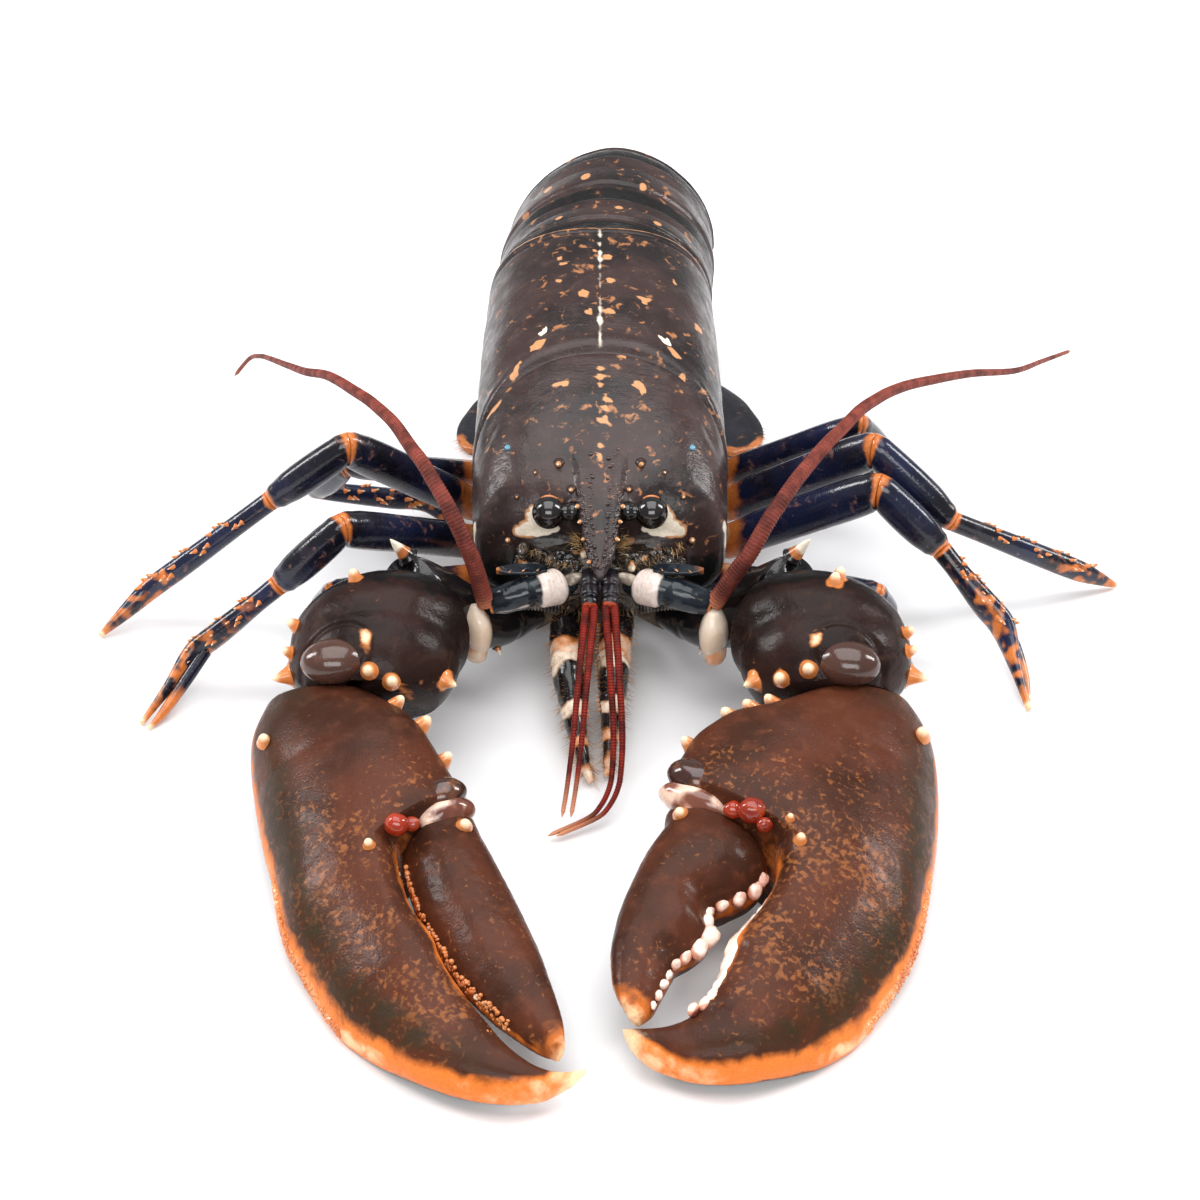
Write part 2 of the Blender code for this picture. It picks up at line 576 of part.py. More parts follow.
def tail_ring(share, number, shift=0.0):
    """One cross section of a tail plate: an arched back, side flaps and the belly between them."""
    first, second = TAIL_PLANES[number], TAIL_PLANES[number + 1]
    plane = [a + (b - a) * share for a, b in zip(first, second)]
    half = TAIL_HALF_WIDTH[number] + (TAIL_HALF_WIDTH[number + 1] - TAIL_HALF_WIDTH[number]) * share
    belly = TAIL_BELLY[number] + (TAIL_BELLY[number + 1] - TAIL_BELLY[number]) * share
    bulge = math.sin(math.pi * share)
    reach = PLEURA_TIP[number]
    if number < 2:
        reach = reach + (1 - bulge) * 7.0
    lift = 0.7 * math.sin(math.pi * min(share * 1.4, 1.0))
    back = TAIL_RADIUS - 0.8 + lift
    profile = []
    for k in range(7):
        a = math.pi / 2 * (1 - k / 6)
        out = abs(math.cos(a)) ** TAIL_ARCH[number]
        profile.append(((half + lift) * out, TAIL_WIDEST + (back - TAIL_WIDEST) * math.sin(a)))
    profile.append((half + lift - 0.5, (TAIL_WIDEST + reach) * 0.5))
    profile.append((half - 2.6, reach))
    profile.append((half - 5.2, reach + 0.35 * (belly - reach)))
    profile.append((half - 7.0, belly))
    ring = [tail_point(plane, x, r, shift) for x, r in profile]
    ring += [tail_point(plane, -x, r, shift) for x, r in reversed(profile[1:])]
    return ring


def build_tail():
    for number in range(6):
        rings = [tail_ring(0, number, GAP / 2)]
        rings += [tail_ring(share, number) for share in (0.3, 0.55, 0.8)]
        rings.append(tail_ring(1, number, -GAP / 2))
        paddles = []
        if 1 <= number <= 4:
            first, second = TAIL_PLANES[number], TAIL_PLANES[number + 1]
            plane = [a + (b - a) * 0.5 for a, b in zip(first, second)]
            belly = TAIL_BELLY[number]
            deep = -6.0 if number == 1 else 3.0
            for sign in SIDES.values():
                rows = []
                for radius, half, thin in ((belly + 2.7, 2.0, 0.9), (belly - 1.5, 2.6, 0.8), (deep, 1.6, 0.5)):
                    rows.append([tail_point(plane, sign * 9.7 + half * math.cos(a), radius, thin * math.sin(a))
                                 for a in (2 * math.pi * k / 8 for k in range(8))])
                paddles.append(loft(rows))
        combine(f"tail_{number + 1}", loft(rings), paddles, "shell", solver="MANIFOLD")


def plate_ring(centre, along, half, thickness, sides=12):
    """A flat oval section of a tail-fan plate, resting on the floor where it is low enough."""
    across = Vector((-along.y, along.x, 0))
    return [centre + across * half * power(math.cos(a), 0.75) + Vector((0, 0, thickness / 2 * math.sin(a)))
            for a in (2 * math.pi * k / sides for k in range(sides))]


def build_fan():
    rings = []
    start = CURL_Y - GAP
    middle = drifted(0, start)
    for s, half in ((0, 9.2), (2, 9.3), (5, 9.6), (9, 10.6), (18, 11.6), (28, 11.6), (36, 10.4), (40, 7.8),
                    (TELSON_LENGTH, 4.0)):
        thickness = 2.2 + 7.0 * math.exp(-s / 2.2)
        rings.append(plate_ring(Vector((middle, start - s, thickness / 2 - 0.1)), Vector((0, -1, 0)), half, thickness))
    combine("telson", loft(rings), [], "shell")
    for side, sign in SIDES.items():
        for name, plate in FAN_PLATES.items():
            turn = math.radians(plate["turn"])
            along = Vector((sign * math.sin(turn), -math.cos(turn), 0))
            root = Vector((middle + sign * plate["root"], start, 0))
            rings = []
            for share in (0, 0.08, 0.18, 0.32, 0.5, 0.7, 0.86, 0.95, 1.0):
                s = share * plate["length"]
                grow = min(s / 26, 1.0)
                half = plate["narrow"] + (plate["wide"] - plate["narrow"]) * grow * grow * (3 - 2 * grow)
                half *= math.sqrt(max(1 - max(share - 0.7, 0) ** 2 / 0.098, 0.05))
                rise = plate["rest"] + plate["rise"] * math.exp(-s / 4.5)
                ring = plate_ring(root + along * s + Vector((0, 0, rise)), along, half, FAN_THICKNESS)
                if share == 0:
                    ring = [Vector((p.x, start, p.z)) for p in ring]
                rings.append(ring)
            combine(f"fan_{name}_{side}", loft(rings), [], "shell")


def knee_side(knee, towards, other, radius):
    """The nearest place to a bent joint where a full-size section clears the joint's plane."""
    half_turn = (towards - knee).angle(knee - other) / 2
    return knee + (towards - knee).normalized() * (radius * math.tan(half_turn) + 0.4)


def build_legs():
    names = ("first", "second", "third", "fourth")
    for side in SIDES:
        for number, row in enumerate(LEGS[side]):
            root, ischium, knee, ankle, foot, tip = leg_joints(side, row)
            size = LEG_THICKNESS[number]
            reference = (knee - root).cross(ankle - knee).normalized()
            at_knee = mitre(ischium, knee, ankle)
            at_ankle = mitre(knee, ankle, foot)
            start = (ischium - root).normalized()
            name = f"leg_{names[number]}_{side}"

            path = [root, ischium] + [ischium.lerp(knee, t) for t in (0.25, 0.55)]
            path += [knee_side(knee, ischium, ankle, 5.0 * size), knee]
            radii = [(4.3, 4.3), (4.5, 3.9), (4.9, 3.9), (5.1, 3.9), (5.0, 4.0), (4.0, 3.4)]
            rings = tube_rings(path, [(a * size, b * size) for a, b in radii], reference, LEG_SIDES, start, at_knee)
            combine(name + "_thigh", loft(rings), [], "leg")

            path = [knee, knee_side(knee, ankle, ischium, 4.5 * size), knee.lerp(ankle, 0.7), ankle]
            radii = [(4.0, 3.4), (4.5, 3.8), (4.4, 3.8), (3.0, 2.8)]
            rings = tube_rings(path, [(a * size, b * size) for a, b in radii], reference, LEG_SIDES,
                               at_knee, at_ankle)
            combine(name + "_shin", loft(rings), [], "leg")
            build_foot(name, ankle, foot, tip, reference, at_ankle, size, number < PINCER_LEGS)


def build_foot(name, ankle, foot, tip, reference, at_ankle, size, pincer):
    wide = 1.15 if pincer else 0.95
    path = [ankle, ankle.lerp(foot, 0.25), ankle.lerp(foot, 0.7), foot, foot.lerp(tip, 0.5), tip]
    radii = [(2.6 * size, 2.5 * size), (2.6, 2.4), (3.1 * wide, 2.6), (3.1 * wide, 2.4), (2.1, 1.6), (0.7, 0.6)]
    if pincer:
        radii[4] = (1.7, 1.3)
    pieces = []
    rings = tube_rings(path, radii, reference, LEG_SIDES, at_ankle)
    along = (foot - ankle).normalized()
    up = along.cross(reference).normalized()
    if up.z < 0:
        up = -up
    if pincer:
        side_step = reference * 2.9
        finger = [foot - along * 3 + side_step * 0.5, foot.lerp(tip, 0.3) + side_step,
                  foot.lerp(tip, 0.7) + side_step * 1.1, tip + side_step * 0.8 - along]
        pieces.append(loft(tube_rings(finger, [1.6, 1.5, 1.1, 0.5], reference, 8)))
    for k in range(FOOT_SPINES):
        share = 0.4 + 0.18 * k
        where = ankle.lerp(foot, share) if share < 1 else foot
        pieces.append(spine(where + up * 2.6, up + along * 0.8, 0.75, 2.3, sides=5))
    combine(name + "_foot", loft(rings), pieces, "leg")


def mirrored(point, sign):
    return Vector((sign * point[0], point[1], point[2]))


def wrist_normal(side):
    """The way the wrist's plane faces: forward and a little down, so that it lies further forward above."""
    return Vector((0, -1, -WRIST_LEAN)).normalized()


def cut_flat(mesh, point, normal):
    """Cuts off what lies past a plane and closes the cut."""
    bm = bmesh.new()
    bm.from_mesh(mesh)
    geometry = bm.verts[:] + bm.edges[:] + bm.faces[:]
    bmesh.ops.bisect_plane(bm, geom=geometry, dist=1e-7, plane_co=place(point), plane_no=normal, clear_outer=True)
    bmesh.ops.holes_fill(bm, edges=[e for e in bm.edges if e.is_boundary])
    bmesh.ops.triangulate(bm, faces=bm.faces[:])
    bmesh.ops.recalc_face_normals(bm, faces=bm.faces[:])
    bm.to_mesh(mesh)
    bm.free()


def build_arms():
    for side, sign in SIDES.items():
        root = mirrored(ARM_ROOT, sign)
        joint = mirrored(ARM_JOINT, sign)
        elbow = mirrored(ELBOW, sign)
        wrist = mirrored(WRIST[side], sign)
        at_elbow = mirrored(ELBOW_FACING, sign)
        start = (joint - root).normalized()
        path = [root, joint, joint.lerp(elbow, 0.35), joint.lerp(elbow, 0.8), elbow]
        radii = [(3.8, 5.4), (5.8, 6.2), (7.4, 7.0), (10.6, 9.2), (12.4, 10.0)]
        reference = (joint - root).cross(Vector((0, 0, 1))).normalized()
        rings = tube_rings(path, radii, reference, 14, start, at_elbow)
        spines = [spine(mirrored(p, sign), mirrored(d, sign), r, n) for p, d, r, n in ARM_SPINES]
        combine("arm_" + side, loft(rings), spines, "claw")

        centre, radii = CARPUS
        pieces = [ball(mirrored(p, sign), size, segments=10) for p, size in (CARPUS_BOSS, CARPUS_RIM)]
        pieces += [ball(mirrored(p, sign), [r] * 3, segments=6, rings=5) for p, r in CARPUS_KNOBS]
        pieces += [spine(mirrored(p, sign), mirrored(d, sign), r, n) for p, d, r, n in CARPUS_SPINES]
        body = ball(mirrored(centre, sign), radii, turn=sign * CARPUS_TURN, segments=16, rings=10)
        carpus = combine("wrist_" + side, body, pieces, "claw")
        cut_flat(carpus.data, wrist - wrist_normal(side) * GAP / 2, wrist_normal(side))
        cut_flat(carpus.data, elbow + at_elbow * GAP / 2, -at_elbow)


def claw_frame(side):
    """The claw's length direction and the direction out to its outer edge."""
    sign = SIDES[side]
    turn = math.radians(CLAW_TURN[side])
    along = Vector((-sign * math.sin(turn), -math.cos(turn), 0))
    out = Vector((sign * math.cos(turn), -math.sin(turn), 0))
    return along, out


def claw_point(side, a, b, z):
    """A point given by its distance from the wrist, its place across and its height."""
    along, out = claw_frame(side)
    wrist = mirrored(WRIST[side], SIDES[side])
    return Vector((wrist.x, wrist.y, 0)) + along * a + out * b + Vector((0, 0, z))


def claw_ring(side, a, inner, outer, thick, middle, tilt, sides, square=0.0):
    """An oval section of a claw, thick within and thin at its outer edge; square leans it to the wrist's plane."""
    turn = math.radians(CLAW_TURN[side])
    ring = []
    for k in range(sides):
        angle = 2 * math.pi * k / sides
        c, s = math.cos(angle), math.sin(angle)
        b = (outer + inner) / 2 + (outer - inner) / 2 * power(c, 0.85)
        z = middle - tilt * c + thick * power(s, 1.0)
        lean = -math.tan(turn) * b + WRIST_LEAN / math.cos(turn) * (z - WRIST[side].z)
        ring.append(claw_point(side, a + square * lean, b, z))
    return ring


def tip_ring(side, inner, outer, thick, middle, sides):
    """An oval section near the bent tip of a claw, between a place on its inner edge and one on its outer."""
    ring = []
    for k in range(sides):
        angle = 2 * math.pi * k / sides
        c, s = math.cos(angle), math.sin(angle)
        a, b = [(i + o) / 2 + (o - i) / 2 * power(c, 0.85) for i, o in zip(inner, outer)]
        ring.append(claw_point(side, a, b, middle - 1.2 * c * min(thick / 3, 1) + thick * s))
    return ring


def build_claws():
    for side, claw in CLAWS.items():
        palm_end = claw["inner"][-1][0]
        rings = []
        for a in claw["stations"]:
            inner = value_at(claw["inner"] if a <= palm_end else claw["gape"], a)
            square = max(1 - a / 40, 0) ** 1.5
            tilt = claw["tilt"] * min(a / 20, 1, (TILT_END - a) / 25)
            start = GAP / 2 / math.cos(math.radians(CLAW_TURN[side])) if a == 0 else 0.0
            rings.append(claw_ring(side, a + start, inner, value_at(claw["outer"], a),
                                   value_at(claw["thick"], a), value_at(claw["middle"], a), tilt,
                                   CLAW_SIDES, square))
        rings += [tip_ring(side, *row, CLAW_SIDES) for row in claw["tip"]]
        pieces = []
        for a, b, radius in claw["teeth"]:
            height = value_at(claw["middle"], a) + 1.0
            pieces.append(ball(claw_point(side, a, b + 0.6, height), [radius] * 3, segments=7, rings=5))
        for a, b, z, radius in claw["knobs"]:
            pieces.append(ball(claw_point(side, a, b, z), [radius] * 3, segments=6, rings=5))
        combine("claw_" + side, loft(rings), pieces, "claw")

        rings = []
        for a in claw["finger_stations"]:
            rings.append(claw_ring(side, a, value_at(claw["finger_inner"], a), value_at(claw["finger_outer"], a),
                                   value_at(claw["finger_thick"], a), value_at(claw["finger_middle"], a), 1.5,
                                   FINGER_SIDES))
        pieces = []
        for a, b, radius in claw["finger_teeth"]:
            height = value_at(claw["finger_middle"], a)
            pieces.append(ball(claw_point(side, a, b - 0.5, height), [radius] * 3, segments=7, rings=5))
        a, b, z, radius = claw["finger_knob"]
        pieces.append(ball(claw_point(side, a, b, z), [radius] * 3, segments=6, rings=5))
        combine("claw_finger_" + side, loft(rings), pieces, "claw")


def build_feelers():
    forward = Vector((0, -1, 0))
    for side, sign in SIDES.items():
        path = [mirrored(p, sign) for p in PEDUNCLE]
        flagellum = smooth_path([mirrored(p, sign) for p in ANTENNAE[side]], 24)
        leave = (flagellum[1] - flagellum[0]).normalized()
        route = [path[0], path[0].lerp(path[1], 0.5), path[1], path[1].lerp(path[2], 0.5), path[2]]
        rings = tube_rings(route, PEDUNCLE_RADII, Vector((0, 0, 1)), 12, forward, leave)
        blade = []
        for share, half in ((0, 1.6), (0.3, 3.0), (0.7, 2.4), (1.0, 0.5)):
            centre = mirrored(Vector((12.5, -31.6, 33.4)).lerp(Vector((23.5, -34.0, 35.2)), share), sign)
            blade.append([centre + Vector((0, half * math.cos(a), 0.9 * math.sin(a)))
                          for a in (2 * math.pi * k / 8 for k in range(8))])
        combine("feeler_base_" + side, loft(rings), [loft(blade)], "shell")

        start = path[2] + leave * GAP
        lengths = [(i, r) for i, r in enumerate(ANTENNA_RADII)]
        route = [start] + flagellum[1:]
        last = len(route) - 1
        radii = [value_at(lengths, (len(ANTENNA_RADII) - 1) * i / last) for i in range(last + 1)]
        tube("feeler_" + side, route, radii).data.materials.append(finish("feeler"))

        root = mirrored(ANTENNULE_ROOT, sign)
        strands = [Vector(p) for p in ANTENNULES[side]]
        base = [root, root.lerp(strands[0], 0.5), strands[0]]
        rings = tube_rings(base, [1.9, 2.1, 1.9], Vector((0, 0, 1)), 10, forward)
        pieces = []
        for step in (-STRAND_SPREAD, STRAND_SPREAD):
            route = smooth_path([base[1] + Vector((step, 0, 0))] + [p + Vector((step, 0, 0)) for p in strands], 16)
            last = len(route) - 1
            radii = [ANTENNULE_RADIUS * (1 - 0.45 * i / last) for i in range(last + 1)]
            pieces.append(meshed(tube("strand", route, radii, 1)))
        combine("small_feeler_" + side, loft(rings), pieces, "feeler_red")


def build_mouth_legs():
    for side in SIDES:
        path = smooth_path(MOUTH_LEGS[side], 11)
        marks = [(i, r) for i, r in enumerate(MOUTH_LEG_RADII)]
        radii = [value_at(marks, 5 * i / 10) for i in range(11)]
        rings = tube_rings(path, [(r * 1.1, r * 0.9) for r in radii], Vector((1, 0, 0)), 10, Vector((0, -1, 0)))
        combine("mouth_leg_" + side, loft(rings), [], "mouth_leg")


def main():
    for obj in list(bpy.data.objects):
        bpy.data.objects.remove(obj)
    collection = bpy.data.collections.new("lobster")
    bpy.context.scene.collection.children.link(collection)
    build_carapace()
    build_thorax()
    build_head()
    build_eyes()
    build_tail()
    build_fan()
    build_legs()
    build_arms()
    build_claws()
    build_feelers()
    build_mouth_legs()
    middle = bpy.data.objects.new("footprint_middle", None)
    middle.location = -FOOTPRINT_MIDDLE * MM
    collection.objects.link(middle)
    for obj in list(collection.objects):
        if obj is not middle:
            obj.parent = middle


main()
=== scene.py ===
"""The looks of the life-size European lobster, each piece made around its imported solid."""

import random
from math import atan2, copysign, cos, exp, hypot, pi, radians, sin, sqrt, tan

import bmesh
import bpy
from mathutils import Matrix, Vector, noise


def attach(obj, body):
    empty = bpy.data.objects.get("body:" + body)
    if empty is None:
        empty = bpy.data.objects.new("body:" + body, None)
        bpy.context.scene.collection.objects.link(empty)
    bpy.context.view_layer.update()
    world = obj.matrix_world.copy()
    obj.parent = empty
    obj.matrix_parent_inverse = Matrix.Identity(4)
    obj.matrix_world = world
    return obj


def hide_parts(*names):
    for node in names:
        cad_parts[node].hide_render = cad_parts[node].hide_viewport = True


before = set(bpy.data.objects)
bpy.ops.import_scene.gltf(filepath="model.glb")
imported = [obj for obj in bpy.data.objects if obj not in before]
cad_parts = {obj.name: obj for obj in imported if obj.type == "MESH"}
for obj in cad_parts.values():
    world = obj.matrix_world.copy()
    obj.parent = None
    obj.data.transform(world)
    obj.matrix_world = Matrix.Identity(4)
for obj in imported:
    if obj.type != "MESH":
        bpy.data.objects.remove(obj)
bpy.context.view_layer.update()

# The shield is one hard moulted plate over head and chest. It is dark and wet, with a neck groove, a
# seam along the back, orange flecks, and a pointed rostrum with spines between the eyes.
MM = 0.001
FOOTPRINT_MIDDLE = Vector((3.0, -20.6, 0.0))
SIDES = {"r": -1, "l": 1}
SHIELD_REAR = 73.0
SHIELD_FRONT = -19.5
SHIELD_TOP = [(-39.6, 37.4), (-32, 40.5), (-20, 44.8), (-15, 47), (-8, 50), (5, 54.5), (23, 58.4), (33, 60.3),
              (45, 61.6), (60, 62), (73, 61.8)]
SHIELD_HALF_WIDTH = [(-19.5, 27.6), (-10, 29.2), (0, 30), (25, 30.4), (55, 29.6), (73, 28.2)]
SHIELD_BOTTOM = [(-19.5, 20), (-8, 15.5), (2, 14.15), (58, 14.15), (73, 19)]
GROOVE_AT = 23.0
GROOVE_SWEEP = 20.0
ROSTRUM_HALF_WIDTH = [(-39.6, 0.5), (-37, 1.7), (-34, 2.9), (-30, 3.9), (-24, 4.6), (-20, 5.4), (-14, 6.6),
                      (2, 8.0)]
ROSTRUM_START = 2.0
ROSTRUM_LIFT = 0.5
ROSTRUM_TEETH = [(-20.6, 5.2, "lr"), (-24.6, 4.6, "lr"), (-29.2, 3.9, "lr"), (-35.0, 2.5, "r")]
ORBIT = Vector((12.0, -21.8, 43.4))
ORBIT_RADIUS = 4.7
NOSE_LENGTH = 11.0
NOSE_DROP = 7.5
SHIELD_SIDES = 300
SHIELD_STEP = 0.62
ROSTRUM_STEP = 0.45
ROSTRUM_RINGS = 93
# The wall that closes the shield behind the face runs in steps to a small oval around its middle.
WALL_STEPS = 17
WALL_Y = -20.5
WALL_Z = 32
WALL_SHARE = 0.1
# Orange blotches on the back, as (x, y, radius), then cream ones.
BACK_BLOTCHES = [(2, 58, 1.0), (-9, 57, 0.9), (-10, 50, 1.1), (-4, 43, 1.5), (2.5, 48, 1.0), (2, 36, 1.3),
                 (-2.5, 36, 1.0), (11, 43, 1.4), (18, 56, 0.9), (24, 46, 1.3), (-1, 62, 0.7),
                 (-10, 60, 0.8), (-15, 29, 1.8), (-20, 25, 1.3), (-25, 20, 1.4), (-9, 13, 1.5),
                 (-10.5, 13.5, 1.1), (9, 13, 1.4), (10.2, 11, 1.3), (5, 21, 0.9), (0.3, 16.5, 1.0),
                 (0.4, 14, 1.2), (0.5, 11.5, 1.0), (1.6, 7, 1.4), (1.4, 4.5, 1.3), (1, 0.5, 1.3),
                 (0, -6, 0.9), (0, -9, 1.0), (18, 28, 1.3), (20, 23, 0.8)]
CREAM_BLOTCHES = [(16, 31, 1.2), (-13.5, 33, 1.2)]
# Cream cheeks under the eyes, on the front edge, as (x, z, radius).
CHEEKS = [(10.6, 36.6, 1.1), (12.6, 36.6, 1.8), (14.8, 36.8, 2.3), (15.4, 39.0, 1.7), (15.2, 40.6, 1.0),
          (17.0, 36.4, 1.8), (18.8, 35.6, 1.2)]


def placed(point):
    """A point of the animal's own frame, in millimetres, in the frame of the solids."""
    return (Vector(point) - FOOTPRINT_MIDDLE) * MM


def unplaced(point):
    """A point of the frame of the solids in the animal's own frame."""
    return point / MM + FOOTPRINT_MIDDLE


def mirrored(point, side):
    """A point of the animal's left, or the same point of its right."""
    return Vector((side * point[0], point[1], point[2]))


def nearest(points, target):
    """The point of a surface that lies nearest to a target."""
    target = Vector(target)
    return min(points, key=lambda p: (p - target).length_squared)


def even_paint(*amounts):
    """The same paint all over a piece."""
    return lambda point, i, k: amounts


def turned(degrees, axis="Z"):
    return Matrix.Rotation(radians(degrees), 3, axis)


def circle(sides):
    """The angles of points spread evenly around a circle."""
    return [2 * pi * k / sides for k in range(sides)]


def value_at(pairs, at):
    """Smooth value at one place, read from (place, value) pairs without overshoot."""
    if at <= pairs[0][0]:
        return pairs[0][1]
    if at >= pairs[-1][0]:
        return pairs[-1][1]
    i = next(k for k in range(len(pairs) - 1) if at <= pairs[k + 1][0])

    def slope(k):
        return (pairs[k + 1][1] - pairs[k][1]) / (pairs[k + 1][0] - pairs[k][0])

    def tangent(k):
        if k == 0 or k == len(pairs) - 1:
            return slope(min(k, len(pairs) - 2))
        before, after = slope(k - 1), slope(k)
        return 0.0 if before * after <= 0 else 2 * before * after / (before + after)

    x0, y0 = pairs[i]
    x1, y1 = pairs[i + 1]
    h = x1 - x0
    t = (at - x0) / h
    return (y0 * (1 + 2 * t) * (1 - t) ** 2 + y1 * t * t * (3 - 2 * t)
            + tangent(i) * h * t * (1 - t) ** 2 - tangent(i + 1) * h * t * t * (1 - t))


def power(value, exponent):
    return copysign(abs(value) ** exponent, value)


def clamp(value):
    return min(max(value, 0.0), 1.0)


def bell(distance, width):
    return exp(-(distance / width) ** 2)


def blot(a, b, discs, edge=1.0):
    """How far inside a group of discs a place lies, from 0 outside to 1 inside."""
    return clamp(0.5 + max(r - hypot(a - x, b - y) for x, y, r in discs) / edge)


def new_clay():
    """An empty body of points, faces, painted amounts and places along and around it."""
    return {"points": [], "faces": [], "paint": [], "run": []}


PLAIN = (0.0, 0.0, 0.0)


def add_rings(clay, rings, paint=None):
    """A closed skin through rings of points. Paint gives (orange, cream, dark) for a point."""
    start = len(clay["points"])
    count = len(rings[0])
    travelled = 0.0
    for i, ring in enumerate(rings):
        middle = sum(ring, Vector()) / count
        if i:
            travelled += (middle - before).length
        before = middle
        around = 0.0
        for k, point in enumerate(ring):
            around += (point - ring[k - 1]).length if k else 0.0
            clay["points"].append(Vector((point.x, point.y, max(point.z, 0.0))))
            clay["paint"].append(paint(point, i, k) if paint else PLAIN)
            clay["run"].append((around, travelled, 0.0))
    for i in range(len(rings) - 1):
        for k in range(count):
            a = start + i * count + k
            b = start + i * count + (k + 1) % count
            clay["faces"].append((a, b, b + count, a + count))
    for i, turned in ((0, True), (len(rings) - 1, False)):
        hub = len(clay["points"])
        middle = sum(rings[i], Vector()) / count
        clay["points"].append(Vector((middle.x, middle.y, max(middle.z, 0.0))))
        clay["paint"].append(paint(middle, i, 0) if paint else PLAIN)
        clay["run"].append((0.0, travelled if i else 0.0, 0.0))
        for k in range(count):
            a = start + i * count + k
            b = start + i * count + (k + 1) % count
            clay["faces"].append((b, a, hub) if turned else (a, b, hub))


def add_ball(clay, centre, radii, turn=None, segments=16, rows=10, paint=None):
    """An ellipsoid, turned by a rotation matrix where one is given."""
    rings = []
    for i in range(1, rows):
        angle = pi * i / rows
        ring = []
        for around in circle(segments):
            p = Vector((radii[0] * sin(angle) * cos(around), radii[1] * sin(angle) * sin(around),
                        radii[2] * cos(angle)))
            ring.append(Vector(centre) + (turn @ p if turn else p))
        rings.append(ring)
    add_rings(clay, rings, paint)


def add_thorn(clay, root, direction, radius, length, paint=None, sides=10, steps=8, blunt=0.12, flare=0.5):
    """A tapered spine with its foot spread on what it grows from."""
    direction = Vector(direction).normalized()
    across = direction.orthogonal().normalized()
    other = direction.cross(across)
    rings = []
    for i in range(steps + 1):
        t = i / steps
        size = radius * (flare * exp(-7 * t) + (1 - t) ** 0.8 * (1 - blunt) + blunt * sqrt(max(1 - t * t, 0)))
        centre = Vector(root) + direction * length * (t - 0.08)
        rings.append([centre + (across * cos(a) + other * sin(a)) * max(size, 0.02)
                      for a in circle(sides)])
    add_rings(clay, rings, (lambda p, i, k: paint(i / steps)) if paint else None)


def face_outwards(mesh, cuts=()):
    """Cuts a mesh flat past planes given as (point, normal), closes the cuts and turns its faces outwards."""
    bm = bmesh.new()
    bm.from_mesh(mesh)
    for point, normal in cuts:
        whole = bm.verts[:] + bm.edges[:] + bm.faces[:]
        bmesh.ops.bisect_plane(bm, geom=whole, dist=1e-7, plane_co=placed(point), plane_no=normal,
                               clear_outer=True)
        bmesh.ops.holes_fill(bm, edges=[e for e in bm.edges if e.is_boundary])
    bmesh.ops.recalc_face_normals(bm, faces=bm.faces[:])
    bm.to_mesh(mesh)
    bm.free()


def shown(name, data):
    """A new object of the scene around a mesh, a light or a camera."""
    obj = bpy.data.objects.new(name, data)
    bpy.context.scene.collection.objects.link(obj)
    return obj


def baked(obj):
    """The mesh that an object's modifiers make of it; the object itself is taken away."""
    bpy.context.view_layer.update()
    mesh = bpy.data.meshes.new_from_object(obj.evaluated_get(bpy.context.evaluated_depsgraph_get()))
    bpy.data.objects.remove(obj)
    return mesh


def cast(name, clay, materials, nodes):
    """Makes the finished piece, which rides on the body and stands for its solids."""
    mesh = bpy.data.meshes.new(name)
    mesh.from_pydata([placed(p) for p in clay["points"]], [], clay["faces"])
    paint = mesh.attributes.new("paint", "FLOAT_COLOR", "POINT")
    paint.data.foreach_set("color", [value for row in clay["paint"] for value in (*row, 1.0)[:4]])
    run = mesh.attributes.new("run", "FLOAT_VECTOR", "POINT")
    run.data.foreach_set("vector", [value for row in clay["run"] for value in row])
    face_outwards(mesh)
    return present(name, mesh, materials, nodes)


def present(name, mesh, materials, nodes):
    """Shows a mesh as a piece that rides on the body and stands for its solids."""
    mesh.shade_smooth()
    for material in materials:
        mesh.materials.append(material)
    obj = shown(name, mesh)
    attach(obj, "root")
    if nodes:
        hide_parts(*nodes)
    return obj


def relief(obj, height):
    """Moves each point along its normal by a height in millimetres that depends on its place."""
    spots = [(vert.co.copy(), vert.normal.copy()) for vert in obj.data.vertices]
    moved = [co + normal * height(unplaced(co)) * MM for co, normal in spots]
    obj.data.vertices.foreach_set("co", [value for co in moved for value in (co.x, co.y, max(co.z, 0.0))])
    obj.data.update()


def ripple(*waves):
    """Heights that add up soft random waves, each given as (height, waves per millimetre)."""
    return lambda p: sum(height * noise.noise(p * pace) for height, pace in waves)


def srgb(red, green, blue):
    """A colour as a painter mixes it, in parts of 255."""
    return (*(((c / 255 + 0.055) / 1.055) ** 2.4 if c > 10 else c / 255 / 12.92
              for c in (red, green, blue)), 1.0)


def wire(tree, node, inputs):
    """Gives a node's inputs their values, or links them to other nodes."""
    for key, value in inputs.items():
        if isinstance(value, bpy.types.NodeSocket):
            tree.links.new(value, node.inputs[key])
        else:
            node.inputs[key].default_value = value


def add_node(tree, kind, inputs=None, **settings):
    node = tree.nodes.new(kind)
    for key, value in settings.items():
        setattr(node, key, value)
    wire(tree, node, inputs or {})
    return node


def new_finish(name):
    """A new material, its node tree and shader, and the place on the body as its nodes read it."""
    material = bpy.data.materials.new(name)
    material.use_nodes = True
    tree = material.node_tree
    place = add_node(tree, "ShaderNodeTexCoord").outputs["Object"]
    return material, tree, tree.nodes["Principled BSDF"], place


def cloud(tree, place, scale, detail=3.0, twist=0.0):
    """Soft random variation; scale is in turns per metre."""
    return add_node(tree, "ShaderNodeTexNoise", {"Vector": place, "Scale": scale, "Detail": detail,
                                                 "Distortion": twist}).outputs["Fac"]


